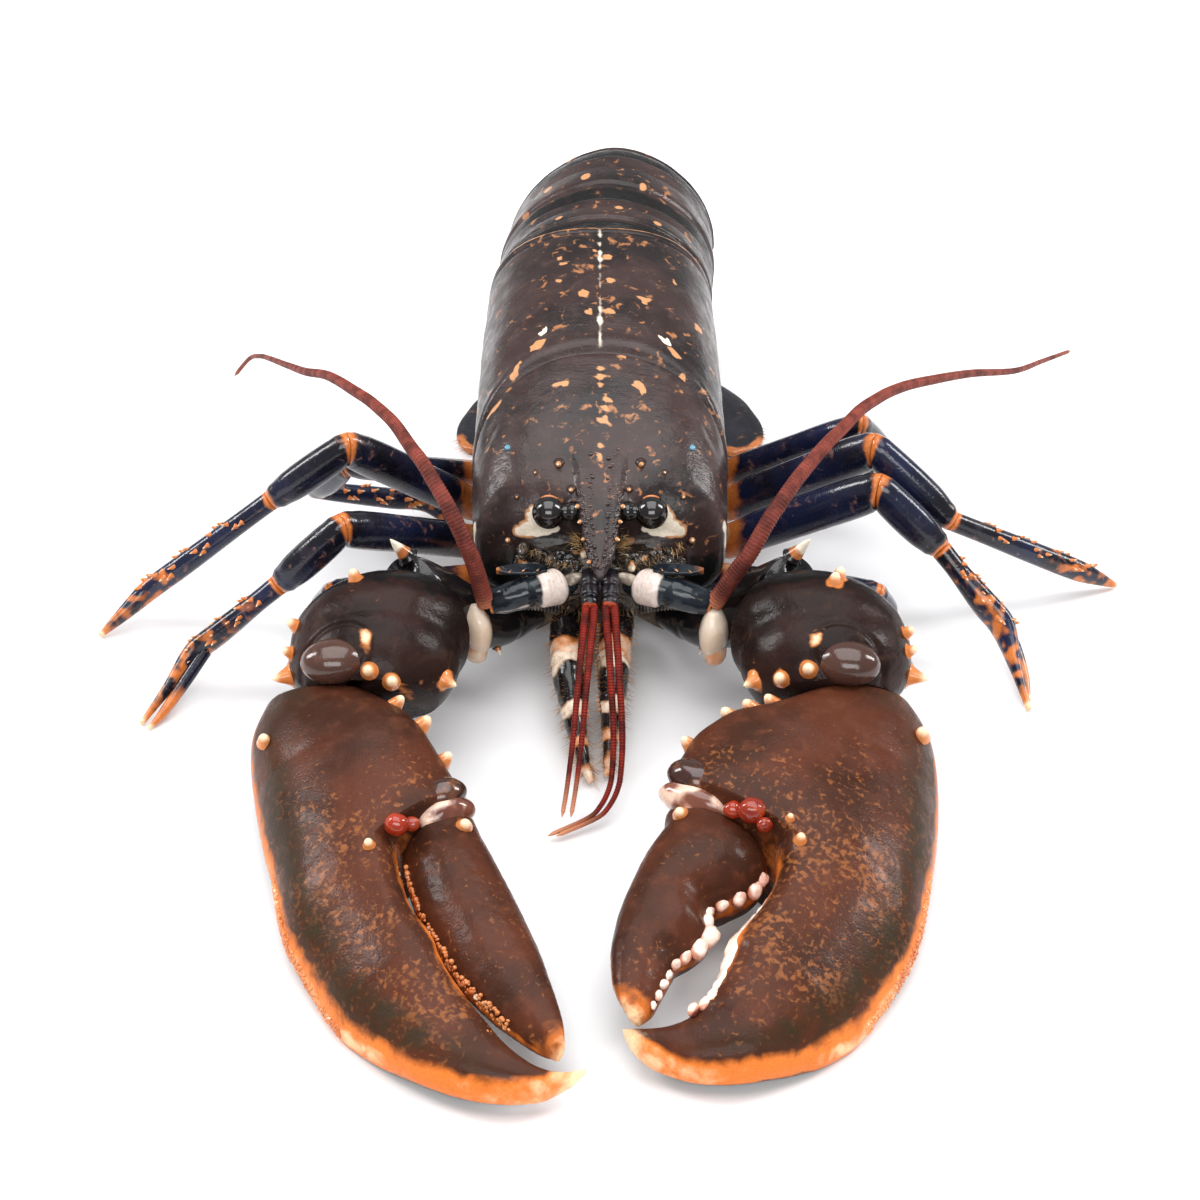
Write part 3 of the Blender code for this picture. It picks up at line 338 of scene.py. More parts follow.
def span(tree, value, low, high, start=0.0, end=1.0):
    """Reads a value between two limits as an amount between two others."""
    return add_node(tree, "ShaderNodeMapRange", {"Value": value, "From Min": low, "From Max": high,
                                                 "To Min": start, "To Max": end},
                    interpolation_type="SMOOTHSTEP").outputs["Result"]


def mixed(tree, amount, first, second):
    """Two colours mixed by an amount."""
    return add_node(tree, "ShaderNodeMix", {0: amount, 6: first, 7: second}, data_type="RGBA").outputs[2]


def sum_of(tree, first, second, way="ADD"):
    return add_node(tree, "ShaderNodeMath", {0: first, 1: second}, operation=way).outputs[0]


def shell_finish(name, *tones, flecks=0.6, fleck_scale=330.0, roughness=0.3, pits=0.5, wrinkles=0.0, coat=0.4,
                 soft=0.2, gloss=0.24):
    """Wet shell: clouded colour, soft flecks, painted orange, cream and dark places, pits and wrinkles."""
    base, shade, light, fleck, orange, cream, dark = [srgb(*tone) for tone in tones]
    material, tree, shader, place = new_finish(name)
    painted = add_node(tree, "ShaderNodeAttribute", attribute_name="paint")
    paint = add_node(tree, "ShaderNodeSeparateColor", {"Color": painted.outputs["Color"]})
    broad = cloud(tree, place, 55.0, 4.0)
    middling = cloud(tree, place, 260.0, 4.0, 0.4)
    fine = cloud(tree, place, 1500.0, 3.0)
    colour = mixed(tree, span(tree, broad, 0.35, 0.65), base, shade)
    colour = mixed(tree, span(tree, middling, 0.5, 0.8, 0.0, 0.55), colour, light)
    spots = cloud(tree, place, fleck_scale, 3.0, 0.45)
    where = cloud(tree, place, 75.0, 2.0)
    level = span(tree, where, 0.3, 0.7, 0.84 - 0.2 * flecks, 0.71 - 0.2 * flecks)
    level = sum_of(tree, level, span(tree, painted.outputs["Alpha"], 0.0, 1.0, 0.22, 0.0))
    amount = span(tree, sum_of(tree, spots, level, "SUBTRACT"), -0.03, 0.03 + 0.32 * soft)
    colour = mixed(tree, sum_of(tree, amount, 0.85, "MULTIPLY"), colour, fleck)
    ragged = span(tree, middling, 0.2, 0.8, -0.25, 0.25)
    for channel, tone in (("Blue", dark), ("Red", orange), ("Green", cream)):
        edge = sum_of(tree, paint.outputs[channel], ragged)
        edge = sum_of(tree, edge, span(tree, paint.outputs[channel], 0.0, 0.12), "MULTIPLY")
        colour = mixed(tree, span(tree, edge, 0.5 - soft, 0.5 + soft), colour, tone)
    colour = mixed(tree, span(tree, fine, 0.3, 0.7, 0.0, 0.16), colour, shade)
    cells = add_node(tree, "ShaderNodeTexVoronoi", {"Vector": place, "Scale": 1100.0}).outputs["Distance"]
    dimples = span(tree, cells, 0.05, 0.45)
    height = sum_of(tree, sum_of(tree, dimples, pits, "MULTIPLY"), sum_of(tree, fine, 0.35, "MULTIPLY"))
    if wrinkles:
        stretched = add_node(tree, "ShaderNodeMapping",
                             {"Vector": place, "Scale": (0.45, 2.6, 1.0)}).outputs["Vector"]
        folds = cloud(tree, stretched, 520.0, 3.0, 0.8)
        height = sum_of(tree, height, sum_of(tree, folds, wrinkles, "MULTIPLY"))
    bump = add_node(tree, "ShaderNodeBump",
                    {"Height": height, "Strength": 0.45, "Distance": 0.00016}).outputs[0]
    wire(tree, shader, {"Base Color": colour, "Normal": bump, "Coat Normal": bump, "Coat Weight": coat,
                        "Roughness": span(tree, middling, 0.25, 0.75, roughness * 0.7, roughness * 1.45),
                        "Coat Roughness": 0.12, "Specular IOR Level": gloss})
    return material


SHELL_ORANGE = (202, 144, 98)
SHELL_CREAM = (252, 238, 216)
shell = shell_finish("shell", (58, 42, 40), (30, 23, 24), (82, 63, 57), (176, 118, 76), SHELL_ORANGE,
                     SHELL_CREAM, (12, 11, 13), flecks=0.65, fleck_scale=380.0, roughness=0.36, pits=0.35,
                     wrinkles=0.8, coat=0.2)


def shield_ring(station):
    """One cross section of the shield; it bends forward down the sides, as the neck groove does."""
    top = value_at(SHIELD_TOP, station)
    half = value_at(SHIELD_HALF_WIDTH, station)
    bottom = value_at(SHIELD_BOTTOM, station)
    widest = bottom + 0.47 * (top - bottom)
    reach = (SHIELD_REAR - station) * (station - SHIELD_FRONT)
    sweep = GROOVE_SWEEP * reach / ((SHIELD_REAR - GROOVE_AT) * (GROOVE_AT - SHIELD_FRONT))
    nose = clamp((SHIELD_FRONT + NOSE_LENGTH - station) / NOSE_LENGTH)
    round_off = NOSE_DROP * (1 - sqrt(1 - nose ** 2))
    ring = []
    for angle in circle(SHIELD_SIDES):
        c, s = cos(pi / 2 - angle), sin(pi / 2 - angle)
        upper = max(s, 0.0)
        dent = (0.5 + 0.9 * upper) * bell(station - GROOVE_AT, 0.95)
        dent -= 0.35 * bell(station - GROOVE_AT - 3.2, 2.2)
        dent += 0.55 * bell(station - 70.6, 0.6) * clamp(upper * 3) + 0.5 * bell(station - 73.4, 0.8)
        beside_snout = clamp((abs(c) - 0.16) / 0.3)
        dent += 0.9 * clamp((-9 - station) / 8) * (1 - clamp((abs(c) - 0.1) / 0.06)) * (s > 0)
        dent += 0.6 * bell(station - GROOVE_AT + 9, 3.5) * bell(s - 0.55, 0.12)
        dent += round_off * (beside_snout if s > 0 else 1.0)
        half_here, top_here = half - dent, top - dent
        if s >= -1e-6:
            x = half_here * power(c, 0.80)
            z = widest + (top_here - widest) * upper ** 0.90
            y = station - sweep * (1 - upper) ** 0.8
            if station > GROOVE_AT:
                z -= 0.3 * bell(x, 0.45)
        else:
            x = half_here * power(c, 0.62)
            z = widest - (widest - bottom) * (-s) ** 0.42
            y = station - sweep * (1 + 0.25 * -s)
        ring.append(Vector((x, y, z)))
    return ring


def rostrum_ring(station):
    """One cross section of the rostrum, with raised toothed edges, a furrow between them and a keel below."""
    top = value_at(SHIELD_TOP, station) + ROSTRUM_LIFT * (clamp((ROSTRUM_START - station) / 14) - 1)
    top += 0.3 * clamp((ROSTRUM_START - station) / 14) * clamp((station + 30) / 10)
    half = value_at(ROSTRUM_HALF_WIDTH, station)
    deep = 0.9 + 0.55 * half
    shoulder = 0.35 * deep * (0.25 + 0.75 * clamp((-8 - station) / 12))
    ridge = clamp((ROSTRUM_START - station) / 16)
    ring = []
    for angle in circle(SHIELD_SIDES):
        c, s = cos(pi / 2 - angle), sin(pi / 2 - angle)
        x = half * power(c, 0.8)
        z = top - shoulder + (shoulder * s if s > 0 else 0.8 * deep * s)
        if s > 0 and half > 1.5:
            z += ridge * (0.35 * bell(abs(x) / half - 0.66, 0.24) - 0.35 * bell(x / half, 0.35))
        ring.append(Vector((x, station, z)))
    return ring


shield_stations = [SHIELD_REAR - SHIELD_STEP * i
                   for i in range(int((SHIELD_REAR - SHIELD_FRONT) / SHIELD_STEP))]
shield_stations += [SHIELD_FRONT + ahead for ahead in (0.45, 0.25, 0.12, 0.04, 0.0)]
shield_rings = [shield_ring(station) for station in shield_stations]
snout_rings = [rostrum_ring(ROSTRUM_START - ROSTRUM_STEP * i) for i in range(ROSTRUM_RINGS)]
for step in range(1, WALL_STEPS):
    t = step / WALL_STEPS
    closing = []
    for a in shield_rings[len(shield_stations) - 1]:
        hub = Vector((a.x * WALL_SHARE, WALL_Y, WALL_Z + (a.z - WALL_Z) * WALL_SHARE))
        swell = 2.4 * clamp((36.5 - a.z) / 5) * clamp((abs(a.x) - 3) / 8)
        closing.append(a.lerp(hub, t) + Vector((0, -swell * sin(pi * t) ** 0.8, 0)))
    shield_rings.append(closing)


def shield_paint(point, i, k):
    station = shield_stations[i] if i < len(shield_stations) else point.y
    stray = 1.3 * noise.noise(Vector((point.x * 0.6, station * 0.6, 3.0)))
    slip = 1.3 * noise.noise(Vector((point.x * 0.6, station * 0.6, 9.0)))
    orange = blot(point.x + stray, station + slip, BACK_BLOTCHES, 0.8) if point.z > 38 else 0.0
    cream = blot(point.x + stray, station + slip, CREAM_BLOTCHES, 0.8) if point.z > 38 else 0.0
    seam = bell(point.x, 0.5) * clamp((station - GROOVE_AT) / 3) * 0.9
    cream = max(cream, seam * (0.55 + 0.45 * noise.noise(Vector((station * 0.35, 0, 0)))))
    if point.y < -17.0 and abs(point.x) > 8:
        cream = max(cream, blot(abs(point.x), point.z, CHEEKS, 0.8))
        rim = blot(abs(point.x), point.z, [(x, z, r + 0.5) for x, z, r in CHEEKS], 0.9)
        orange = max(orange, rim * clamp((abs(point.x) - 14) / 3))
    # Painted highlight: a narrow upright cream streak on each front flank of the shield, the reflection of
    # the side lights.
    if -19 < point.y < -9 and abs(point.x) > 22:
        cream = max(cream, 0.9 * bell(point.y + 15.5, 1.4) * clamp((36 - point.z) / 2)
                    * clamp((point.z - 26) / 3))
    dark = clamp((34 - point.z) / 12) * 0.9
    if station > 71.8 and point.z > 30:
        orange = max(orange, 0.62)
    return (orange, cream, dark)


shield_clay = new_clay()
add_rings(shield_clay, shield_rings, shield_paint)
add_rings(shield_clay, snout_rings, lambda p, i, k: shield_paint(p, len(shield_stations), k))
for i, point in enumerate(shield_clay["points"]):
    socket = Vector((copysign(ORBIT.x, point.x), ORBIT.y, ORBIT.z))
    off = hypot(point.x - socket.x, point.z - socket.z)
    if off < ORBIT_RADIUS and abs(point.x) > 6.5:
        hollow = socket.y + 0.8 * sqrt(ORBIT_RADIUS ** 2 - off ** 2)
        shield_clay["points"][i] = Vector((point.x, max(point.y, hollow), point.z))


def knob_tip(t):
    return (1.0, clamp((t - 0.45) * 1.9), 0.0)


def orange_tip(t):
    return (clamp((t - 0.3) * 2.6), clamp((t - 0.75) * 3), 0.0)


for name, side in SIDES.items():
    for station, half, where in ROSTRUM_TEETH:
        if name in where:
            root = (side * (half - 0.4), station, value_at(SHIELD_TOP, station) - 0.7)
            add_thorn(shield_clay, root, (side * 0.6, -0.9, 0.45), 0.8, 2.1, orange_tip, blunt=0.3)
    skin = list(shield_clay["points"])
    for x, y, z, radius, length in ((9.6, -10.6, 48.6, 1.0, 2.6), (6.6, -17.5, 46.5, 0.8, 2.0),
                                    (19.0, -13.5, 41.0, 0.6, 1.2), (15.0, -11.0, 46.0, 0.5, 1.0),
                                    (21.5, -18.5, 33.0, 0.9, 2.0)):
        foot = nearest(skin, (side * x, y, z))
        add_thorn(shield_clay, foot, (side * 0.15, -1.0, 0.65), radius, length, orange_tip, blunt=0.3)
shield_piece = cast("shield", shield_clay, [shell], ["carapace"])
relief(shield_piece, lambda p: 0.16 * noise.noise(p * 0.16) + 0.05 * noise.noise(p * 0.9)
       + 0.13 * noise.noise(Vector((p.x * 0.22, p.y * 1.6, p.z * 0.4))) * clamp((8 - p.y) / 10)
       * clamp((14 - abs(p.x)) / 6))

# Two small sky-blue spots show on the shield, one on each side behind the eyes, where muscles hold on
# inside. Each is a shallow glazed bead.
DOT = (20.4, -3.0, 46.0)
dot_skin = [unplaced(vert.co) for vert in shield_piece.data.vertices]
dot_clay = new_clay()
for side in SIDES.values():
    add_ball(dot_clay, nearest(dot_skin, mirrored(DOT, side)), (0.75, 0.95, 0.5), None, 14, 10)
dot_glaze = shell_finish("dot_glaze", (96, 152, 172), (60, 104, 124), (150, 196, 206), (190, 214, 214),
                         SHELL_ORANGE, SHELL_CREAM, (20, 30, 36), flecks=0.3, fleck_scale=900.0,
                         roughness=0.2)
cast("shield_dots", dot_clay, [dot_glaze], [])

# Small blunt bumps stand in rows on both sides of the rostrum and fade out behind the eyes. They are
# part of the shell, so they are rooted in it.


def new_sower(name, **settings):
    """A node tree that takes points and settings: the tree, its inputs and each point's direction."""
    tree = bpy.data.node_groups.new(name, "GeometryNodeTree")
    tree.interface.new_socket("Geometry", in_out="INPUT", socket_type="NodeSocketGeometry")
    for label, value in settings.items():
        kind = "NodeSocketInt" if isinstance(value, int) else "NodeSocketFloat"
        tree.interface.new_socket(label, in_out="INPUT", socket_type=kind).default_value = value
    tree.interface.new_socket("Geometry", in_out="OUTPUT", socket_type="NodeSocketGeometry")
    facing = add_node(tree, "GeometryNodeInputNamedAttribute", {"Name": "facing"}, data_type="FLOAT_VECTOR")
    return tree, tree.nodes.new("NodeGroupInput").outputs, facing.outputs["Attribute"]


def close_sower(tree, points, shape, way, size):
    """Puts a shape on every point, turned its way and sized, as plain geometry."""
    turn = add_node(tree, "FunctionNodeAlignRotationToVector", {"Vector": way}, axis="Z")
    sown = add_node(tree, "GeometryNodeInstanceOnPoints", {"Points": points, "Instance": shape,
                                                           "Rotation": turn.outputs[0], "Scale": size})
    real = add_node(tree, "GeometryNodeRealizeInstances", {"Geometry": sown.outputs[0]})
    tree.links.new(real.outputs[0], tree.nodes.new("NodeGroupOutput").inputs[0])
    return tree


def grain_tree():
    """A small round grain on every point of a mesh, each sized a little differently."""
    tree, given, facing = new_sower("grains", Radius=0.0004, Tallness=1.0, Variation=0.3, Seed=4)
    grain = add_node(tree, "GeometryNodeMeshUVSphere", {"Radius": given["Radius"], "Segments": 8, "Rings": 5})
    tall = add_node(tree, "ShaderNodeCombineXYZ", {"X": 1.0, "Y": 1.0, "Z": given["Tallness"]})
    least = sum_of(tree, 1.0, given["Variation"], "SUBTRACT")
    most = sum_of(tree, 1.0, given["Variation"])
    size = add_node(tree, "FunctionNodeRandomValue", {2: least, 3: most, "Seed": given["Seed"]},
                    data_type="FLOAT")
    scale = add_node(tree, "ShaderNodeVectorMath", {0: tall.outputs[0], "Scale": size.outputs[1]},
                     operation="SCALE")
    return close_sower(tree, given["Geometry"], grain.outputs[0], facing, scale.outputs[0])


grains = grain_tree()


def sow(name, spots, tree, material, slot, **settings):
    """Puts a tree's shapes on (place, direction) spots and leaves them as one plain piece."""
    mesh = bpy.data.meshes.new(name + "_spots")
    mesh.from_pydata([placed(point) for point, direction in spots], [], [])
    facing = mesh.attributes.new("facing", "FLOAT_VECTOR", "POINT")
    facing.data.foreach_set("vector", [value for point, direction in spots for value in direction])
    sower = shown(name + "_sower", mesh)
    modifier = sower.modifiers.new("Sow", "NODES")
    modifier.node_group = tree
    for item in tree.interface.items_tree:
        if item.in_out == "INPUT" and item.name in settings:
            modifier[item.identifier] = settings[item.name]
    grown = baked(sower)
    grown.materials.clear()
    for vert in grown.vertices:
        vert.co.z = max(vert.co.z, 0.0)
    present(name, grown, [material], [])


rostrum_spots = []
rows = random.Random(7)
for side in SIDES.values():
    for step in range(150):
        station = -37.0 + 0.26 * step
        half = value_at(ROSTRUM_HALF_WIDTH, station)
        if rows.random() < clamp((-6 - station) / 12):
            share = (rows.choice((0.42, 0.66, 0.86)) + rows.uniform(-0.09, 0.09)) * min(1.0, 5.2 / half)
            top = value_at(SHIELD_TOP, station) + 0.3 * clamp((ROSTRUM_START - station) / 14)
            top -= 0.45 * share ** 4
            rostrum_spots.append(((side * half * share, station, top - 0.12), (side * 0.25, -0.35, 1.0)))
bump_shell = shell_finish("bump_shell", (64, 46, 43), (44, 32, 31), (104, 78, 68), (168, 116, 84),
                          SHELL_ORANGE, SHELL_CREAM, (12, 11, 13), flecks=0.45, fleck_scale=300.0,
                          roughness=0.14, pits=0.1, coat=0.6)
sow("rostrum_bumps", rostrum_spots, grains, bump_shell, "shell", Radius=0.00042, Tallness=0.8,
    Variation=0.35, Seed=3)

# The eyes are round, black and glossy, on short stalks that lie in the orbits. A thin orange rim runs
# over the top of each eye where the stalk's hard cuff ends.
EYE = Vector((12.0, -21.2, 42.4))
EYE_RADIUS = 3.85
eye_black, eye_tree, eye_shader, eye_place = new_finish("eye_black")
facets = add_node(eye_tree, "ShaderNodeTexVoronoi",
                  {"Vector": eye_place, "Scale": 9000.0}).outputs["Distance"]
eye_colour = mixed(eye_tree, span(eye_tree, cloud(eye_tree, eye_place, 500.0), 0.4, 0.7), srgb(12, 10, 11),
                   srgb(30, 22, 20))
eye_bump = add_node(eye_tree, "ShaderNodeBump", {"Height": facets, "Strength": 0.12, "Distance": 0.00005})
wire(eye_tree, eye_shader, {"Base Color": eye_colour, "Normal": eye_bump.outputs["Normal"], "Roughness": 0.1,
                            "Coat Weight": 0.45, "Coat Roughness": 0.06})
stalk_shell = shell_finish("stalk_shell", (20, 16, 17), (12, 10, 12), (40, 34, 34), (70, 50, 40),
                           (198, 116, 56), SHELL_CREAM, (10, 9, 10), flecks=0.1, roughness=0.16, pits=0.1,
                           coat=0.9)
for name, side in SIDES.items():
    clay = new_clay()
    eye = mirrored(EYE, side)
    add_ball(clay, eye, [EYE_RADIUS] * 3, segments=48, rows=32)
    cast("eye_ball_" + name, clay, [eye_black], ["eye_" + name])
    clay = new_clay()
    stalk = []
    for i in range(26):
        t = i / 25
        x = eye.x - side * (6.6 - 5.4 * t)
        radius = 1.95 + 0.75 * bell(t - 0.9, 0.16) + 0.3 * bell(t - 0.2, 0.15) - 0.2 * bell(t - 0.5, 0.15)
        stalk.append([Vector((x, eye.y + 0.2 * (1 - t) + radius * cos(a), eye.z + radius * 1.02 * sin(a)))
                      for a in circle(36)])
    add_rings(clay, stalk)
    rim = []
    for i in range(41):
        a = radians(62 + 60 * i / 40)
        thin = 0.3 * sqrt(sin(pi * (i + 0.6) / 41.2)) + 0.03
        away = Vector((side * cos(a), 0.5 * sin(a), 0.866 * sin(a)))
        rim.append([eye + away * (EYE_RADIUS + thin * cos(b)) + Vector((0, -0.866, 0.5)) * 1.3 * thin * sin(b)
                    for b in circle(10)])
    add_rings(clay, rim, even_paint(1.0, 0.0, 0.0))
    cast("eye_stem_" + name, clay, [stalk_shell], ["eyestalk_" + name])

# Behind the feelers the face is a dark, knobbly block: the plate over the mouth, cheek ridges with
# cream points, and tan bristles that stand out of every fold.
face_shell = shell_finish("face_shell", (44, 36, 30), (20, 17, 18), (92, 74, 52), (176, 128, 86),
                          (190, 118, 62), (226, 206, 178), (14, 12, 14), flecks=0.55, fleck_scale=500.0,
                          roughness=0.26, pits=0.5, coat=0.6)
# Sections of the block, as (y, half width, lowest and highest place).
FACE_SECTIONS = [(-19.9, 20.5, 18.2, 33.0), (-21.5, 19.4, 17.8, 33.6), (-24, 17.6, 17.8, 34.0),
                 (-27, 13.8, 18.2, 34.9), (-29.4, 11.0, 19.2, 34.3), (-30.8, 8.4, 21.5, 33.2)]
FACE_STEPS = 33
FACE_LUMPS = 34
FACE_HAIRS = 420
SNOUT_HAIRS = 90
face_clay = new_clay()
face_rings = []
for i in range(FACE_STEPS + 1):
    y = FACE_SECTIONS[0][0] + (FACE_SECTIONS[-1][0] - FACE_SECTIONS[0][0]) * i / FACE_STEPS
    half, low, high = [value_at(sorted((-row[0], row[j]) for row in FACE_SECTIONS), -y) for j in (1, 2, 3)]
    middle, tall = (low + high) / 2, (high - low) / 2
    face_rings.append([Vector((half * power(cos(a), 0.75), y, middle + tall * power(sin(a), 0.75)))
                       for a in circle(150)])
add_rings(face_clay, face_rings)
lumps = random.Random(11)
for side in SIDES.values():
    for step in range(FACE_LUMPS):
        x = side * lumps.uniform(2.0, 18.0)
        y = -22.0 - 8.0 * clamp((19 - abs(x)) / 12) * lumps.uniform(0.35, 1.0)
        z = lumps.uniform(20, 35)
        size = lumps.uniform(0.7, 1.5)
        pale = 1.0 if lumps.random() < 0.22 else 0.0
        add_thorn(face_clay, (x, y, z), (side * 0.3, -1.0, lumps.uniform(-0.1, 0.7)), size, size * 1.9,
                  lambda t, pale=pale: (pale * 0.5, pale * t, 0.0), blunt=0.5)
face_piece = cast("face", face_clay, [face_shell], ["head"])
relief(face_piece, ripple((0.55, 0.33), (0.3, 0.85), (0.12, 2.1)))


def hair_tree():
    """Curved tapered hairs on every spot, pointing its way, each leaning and sized a little differently."""
    tree, given, facing = new_sower("hairs", Length=0.003, Thickness=0.00008, Lean=0.35, Seed=5)
    tip = add_node(tree, "ShaderNodeCombineXYZ", {"Z": given["Length"]})
    bow = add_node(tree, "ShaderNodeVectorMath", {0: tip.outputs[0], 1: (0.0, 0.0, 0.55)},
                   operation="MULTIPLY")
    side = add_node(tree, "ShaderNodeCombineXYZ", {"X": sum_of(tree, given["Length"], 0.14, "MULTIPLY")})
    knee = add_node(tree, "ShaderNodeVectorMath", {0: bow.outputs[0], 1: side.outputs[0]}, operation="ADD")
    strand = add_node(tree, "GeometryNodeCurveQuadraticBezier",
                      {"Resolution": 4, "Start": (0.0, 0.0, 0.0), "Middle": knee.outputs[0],
                       "End": tip.outputs[0]})
    taper = add_node(tree, "GeometryNodeSplineParameter")
    width = sum_of(tree, 1.0, sum_of(tree, taper.outputs["Factor"], 0.85, "MULTIPLY"), "SUBTRACT")
    thick = add_node(tree, "GeometryNodeSetCurveRadius", {"Curve": strand.outputs[0], "Radius": width})
    ring = add_node(tree, "GeometryNodeCurvePrimitiveCircle", {"Resolution": 3, "Radius": given["Thickness"]})
    solid = add_node(tree, "GeometryNodeCurveToMesh",
                     {"Curve": thick.outputs[0], "Profile Curve": ring.outputs[0], "Fill Caps": True})
    if "Scale" in solid.inputs:
        tree.links.new(width, solid.inputs["Scale"])
    back = sum_of(tree, given["Lean"], -1.0, "MULTIPLY")
    least, most = [add_node(tree, "ShaderNodeCombineXYZ", dict.fromkeys("XYZ", lean)).outputs[0]
                   for lean in (back, given["Lean"])]
    stray = add_node(tree, "FunctionNodeRandomValue", {0: least, 1: most, "Seed": given["Seed"]},
                     data_type="FLOAT_VECTOR")
    way = add_node(tree, "ShaderNodeVectorMath", {0: facing, 1: stray.outputs[0]}, operation="ADD")
    size = add_node(tree, "FunctionNodeRandomValue", {2: 0.55, 3: 1.3, "Seed": given["Seed"]},
                    data_type="FLOAT")
    return close_sower(tree, given["Geometry"], solid.outputs[0], way.outputs[0], size.outputs[1])


hairs = hair_tree()


def hair_finish(name, dark_tone, pale_tone):
    """Stiff satin hair, darker in places along it."""
    material, tree, shader, place = new_finish(name)
    patches = span(tree, cloud(tree, place, 420.0), 0.35, 0.65)
    tone = mixed(tree, patches, srgb(*dark_tone), srgb(*pale_tone))
    wire(tree, shader, {"Base Color": tone, "Roughness": 0.45})
    return material


tan_hair = hair_finish("tan_hair", (120, 88, 50), (196, 160, 108))
face_hairs = []
bristles = random.Random(5)
for side in SIDES.values():
    for step in range(FACE_HAIRS):
        x = side * bristles.uniform(0.5, 19.0)
        y = -21.5 - 8.6 * clamp((20 - abs(x)) / 12)
        z = bristles.choice((20.5, 24.0, 28.5, 33.5)) + bristles.gauss(0, 0.8)
        face_hairs.append(((x, y + 0.6, z), (side * 0.35, -1.0, bristles.uniform(-0.4, 0.8))))
    for step in range(SNOUT_HAIRS):
        spot = (side * (4.9 + bristles.gauss(0, 0.7)), -26.5 + bristles.gauss(0, 1.6),
                37.6 + bristles.gauss(0, 0.7))
        face_hairs.append((spot, (side * 0.5, -0.5, bristles.uniform(0.2, 1.0))))
sow("face_hair", face_hairs, hairs, tan_hair, "mouth", Length=0.0026, Thickness=0.00007, Lean=0.45, Seed=2)

# Between the feelers' bases lie small grey-cream plates, and under them a pair of ringed grey-purple
# palps that bend outwards over the mouth.
plate_shell = shell_finish("plate_shell", (150, 136, 120), (96, 84, 74), (206, 194, 176), (170, 140, 104),
                           (190, 118, 62), SHELL_CREAM, (30, 26, 26), flecks=0.4, fleck_scale=500.0,
                           roughness=0.24, pits=0.2, coat=0.5)
palp_clay = new_clay()
for side in SIDES.values():
    tilt_out = turned(side * 24, "Y")
    add_ball(palp_clay, (side * 6.9, -32.0, 31.0), (3.4, 1.3, 1.5), tilt_out, 30, 20,
             even_paint(0.0, 0.3, 0.0))
    add_ball(palp_clay, (side * 15.6, -29.0, 31.8), (2.2, 1.4, 1.6), tilt_out, 30, 20,
             even_paint(0.2, 0.0, 0.6))
    for step in range(15):
        t = step / 14
        spot = (side * (9.6 + 11.0 * t), -33.5 - 2.6 * t + 1.4 * t * t, 24.2 + 1.6 * sin(t * 2.4))
        size = 1.75 - 0.5 * t
        add_ball(palp_clay, spot, (0.62, size, size), None, 26, 14,
                 lambda p, i, k, t=t: (0.25 * bell(t - 1, 0.3), 0.0, 0.72 - 0.3 * t))
cast("palps", palp_clay, [plate_shell], [])

# Each long feeler has a jointed base: a pearly pink ring, then a blue-black capsule, with a dark blade
# over it. The whip is horny, reddish brown and ringed all along.
PEDUNCLE = [Vector((9.4, -31.0, 28.5)), Vector((15.5, -34.4, 29.6)), Vector((26.0, -36.5, 27.2))]
FEELERS = {
    "l": [(26.4, -36.9, 27.6), (33, -37, 40), (40, -31, 50), (47, -22, 55), (54, -12, 57), (59.6, -3, 57),
          (66, 8.5, 54), (73, 20.5, 49), (82.6, 34, 42), (92, 48, 34), (107, 70, 20), (116, 87.5, 11),
          (126, 105, 2.5)],
    "r": [(26.4, -36.9, 27.6), (30, -38, 44), (36, -32, 55), (42, -23, 60), (47, -12, 60), (53, 0, 58),
          (59, 12, 54), (66, 28, 47), (73, 43, 38), (79, 59, 29), (88.5, 81, 17), (92, 88, 11.5),
          (97, 93, 2.5)],
}
FEELER_RADII = [2.1, 1.75, 1.4, 1.2, 0.95, 0.7, 0.5]
RING_PITCH = 0.85
STEPS_PER_RING = 5
# So many of a whip's last steps run to a point.
WHIP_TIP = 12


def smooth_path(points, count):
    """Points of a smooth curve through the given ones."""
    axes = [[(i, p[axis]) for i, p in enumerate(points)] for axis in range(3)]
    last = len(points) - 1
    return [Vector([value_at(axis, last * k / (count - 1)) for axis in axes]) for k in range(count)]


def even_path(points, step):
    """The same smooth curve with its points a steady step apart."""
    fine = smooth_path(points, 400)
    places = [fine[0]]
    left = step
    for a, b in zip(fine, fine[1:]):
        length = (b - a).length
        done = 0.0
        while left <= length - done:
            done += left
            places.append(a.lerp(b, done / length))
            left = step
        left -= length - done
    return places


def pipe_rings(path, radius_at, reference, sides, squash=1.0):
    """Rings around a path, turned steadily from one to the next; radius_at takes the share of the way."""
    rings = []
    last = len(path) - 1
    across = Vector(reference)
    for i, point in enumerate(path):
        along = (path[min(i + 1, last)] - path[max(i - 1, 0)]).normalized()
        across = (across - along * across.dot(along)).normalized()
        up = along.cross(across)
        radius = radius_at(i / last)
        rings.append([point + across * radius * cos(a) + up * radius * squash * sin(a)
                      for a in circle(sides)])
    return rings


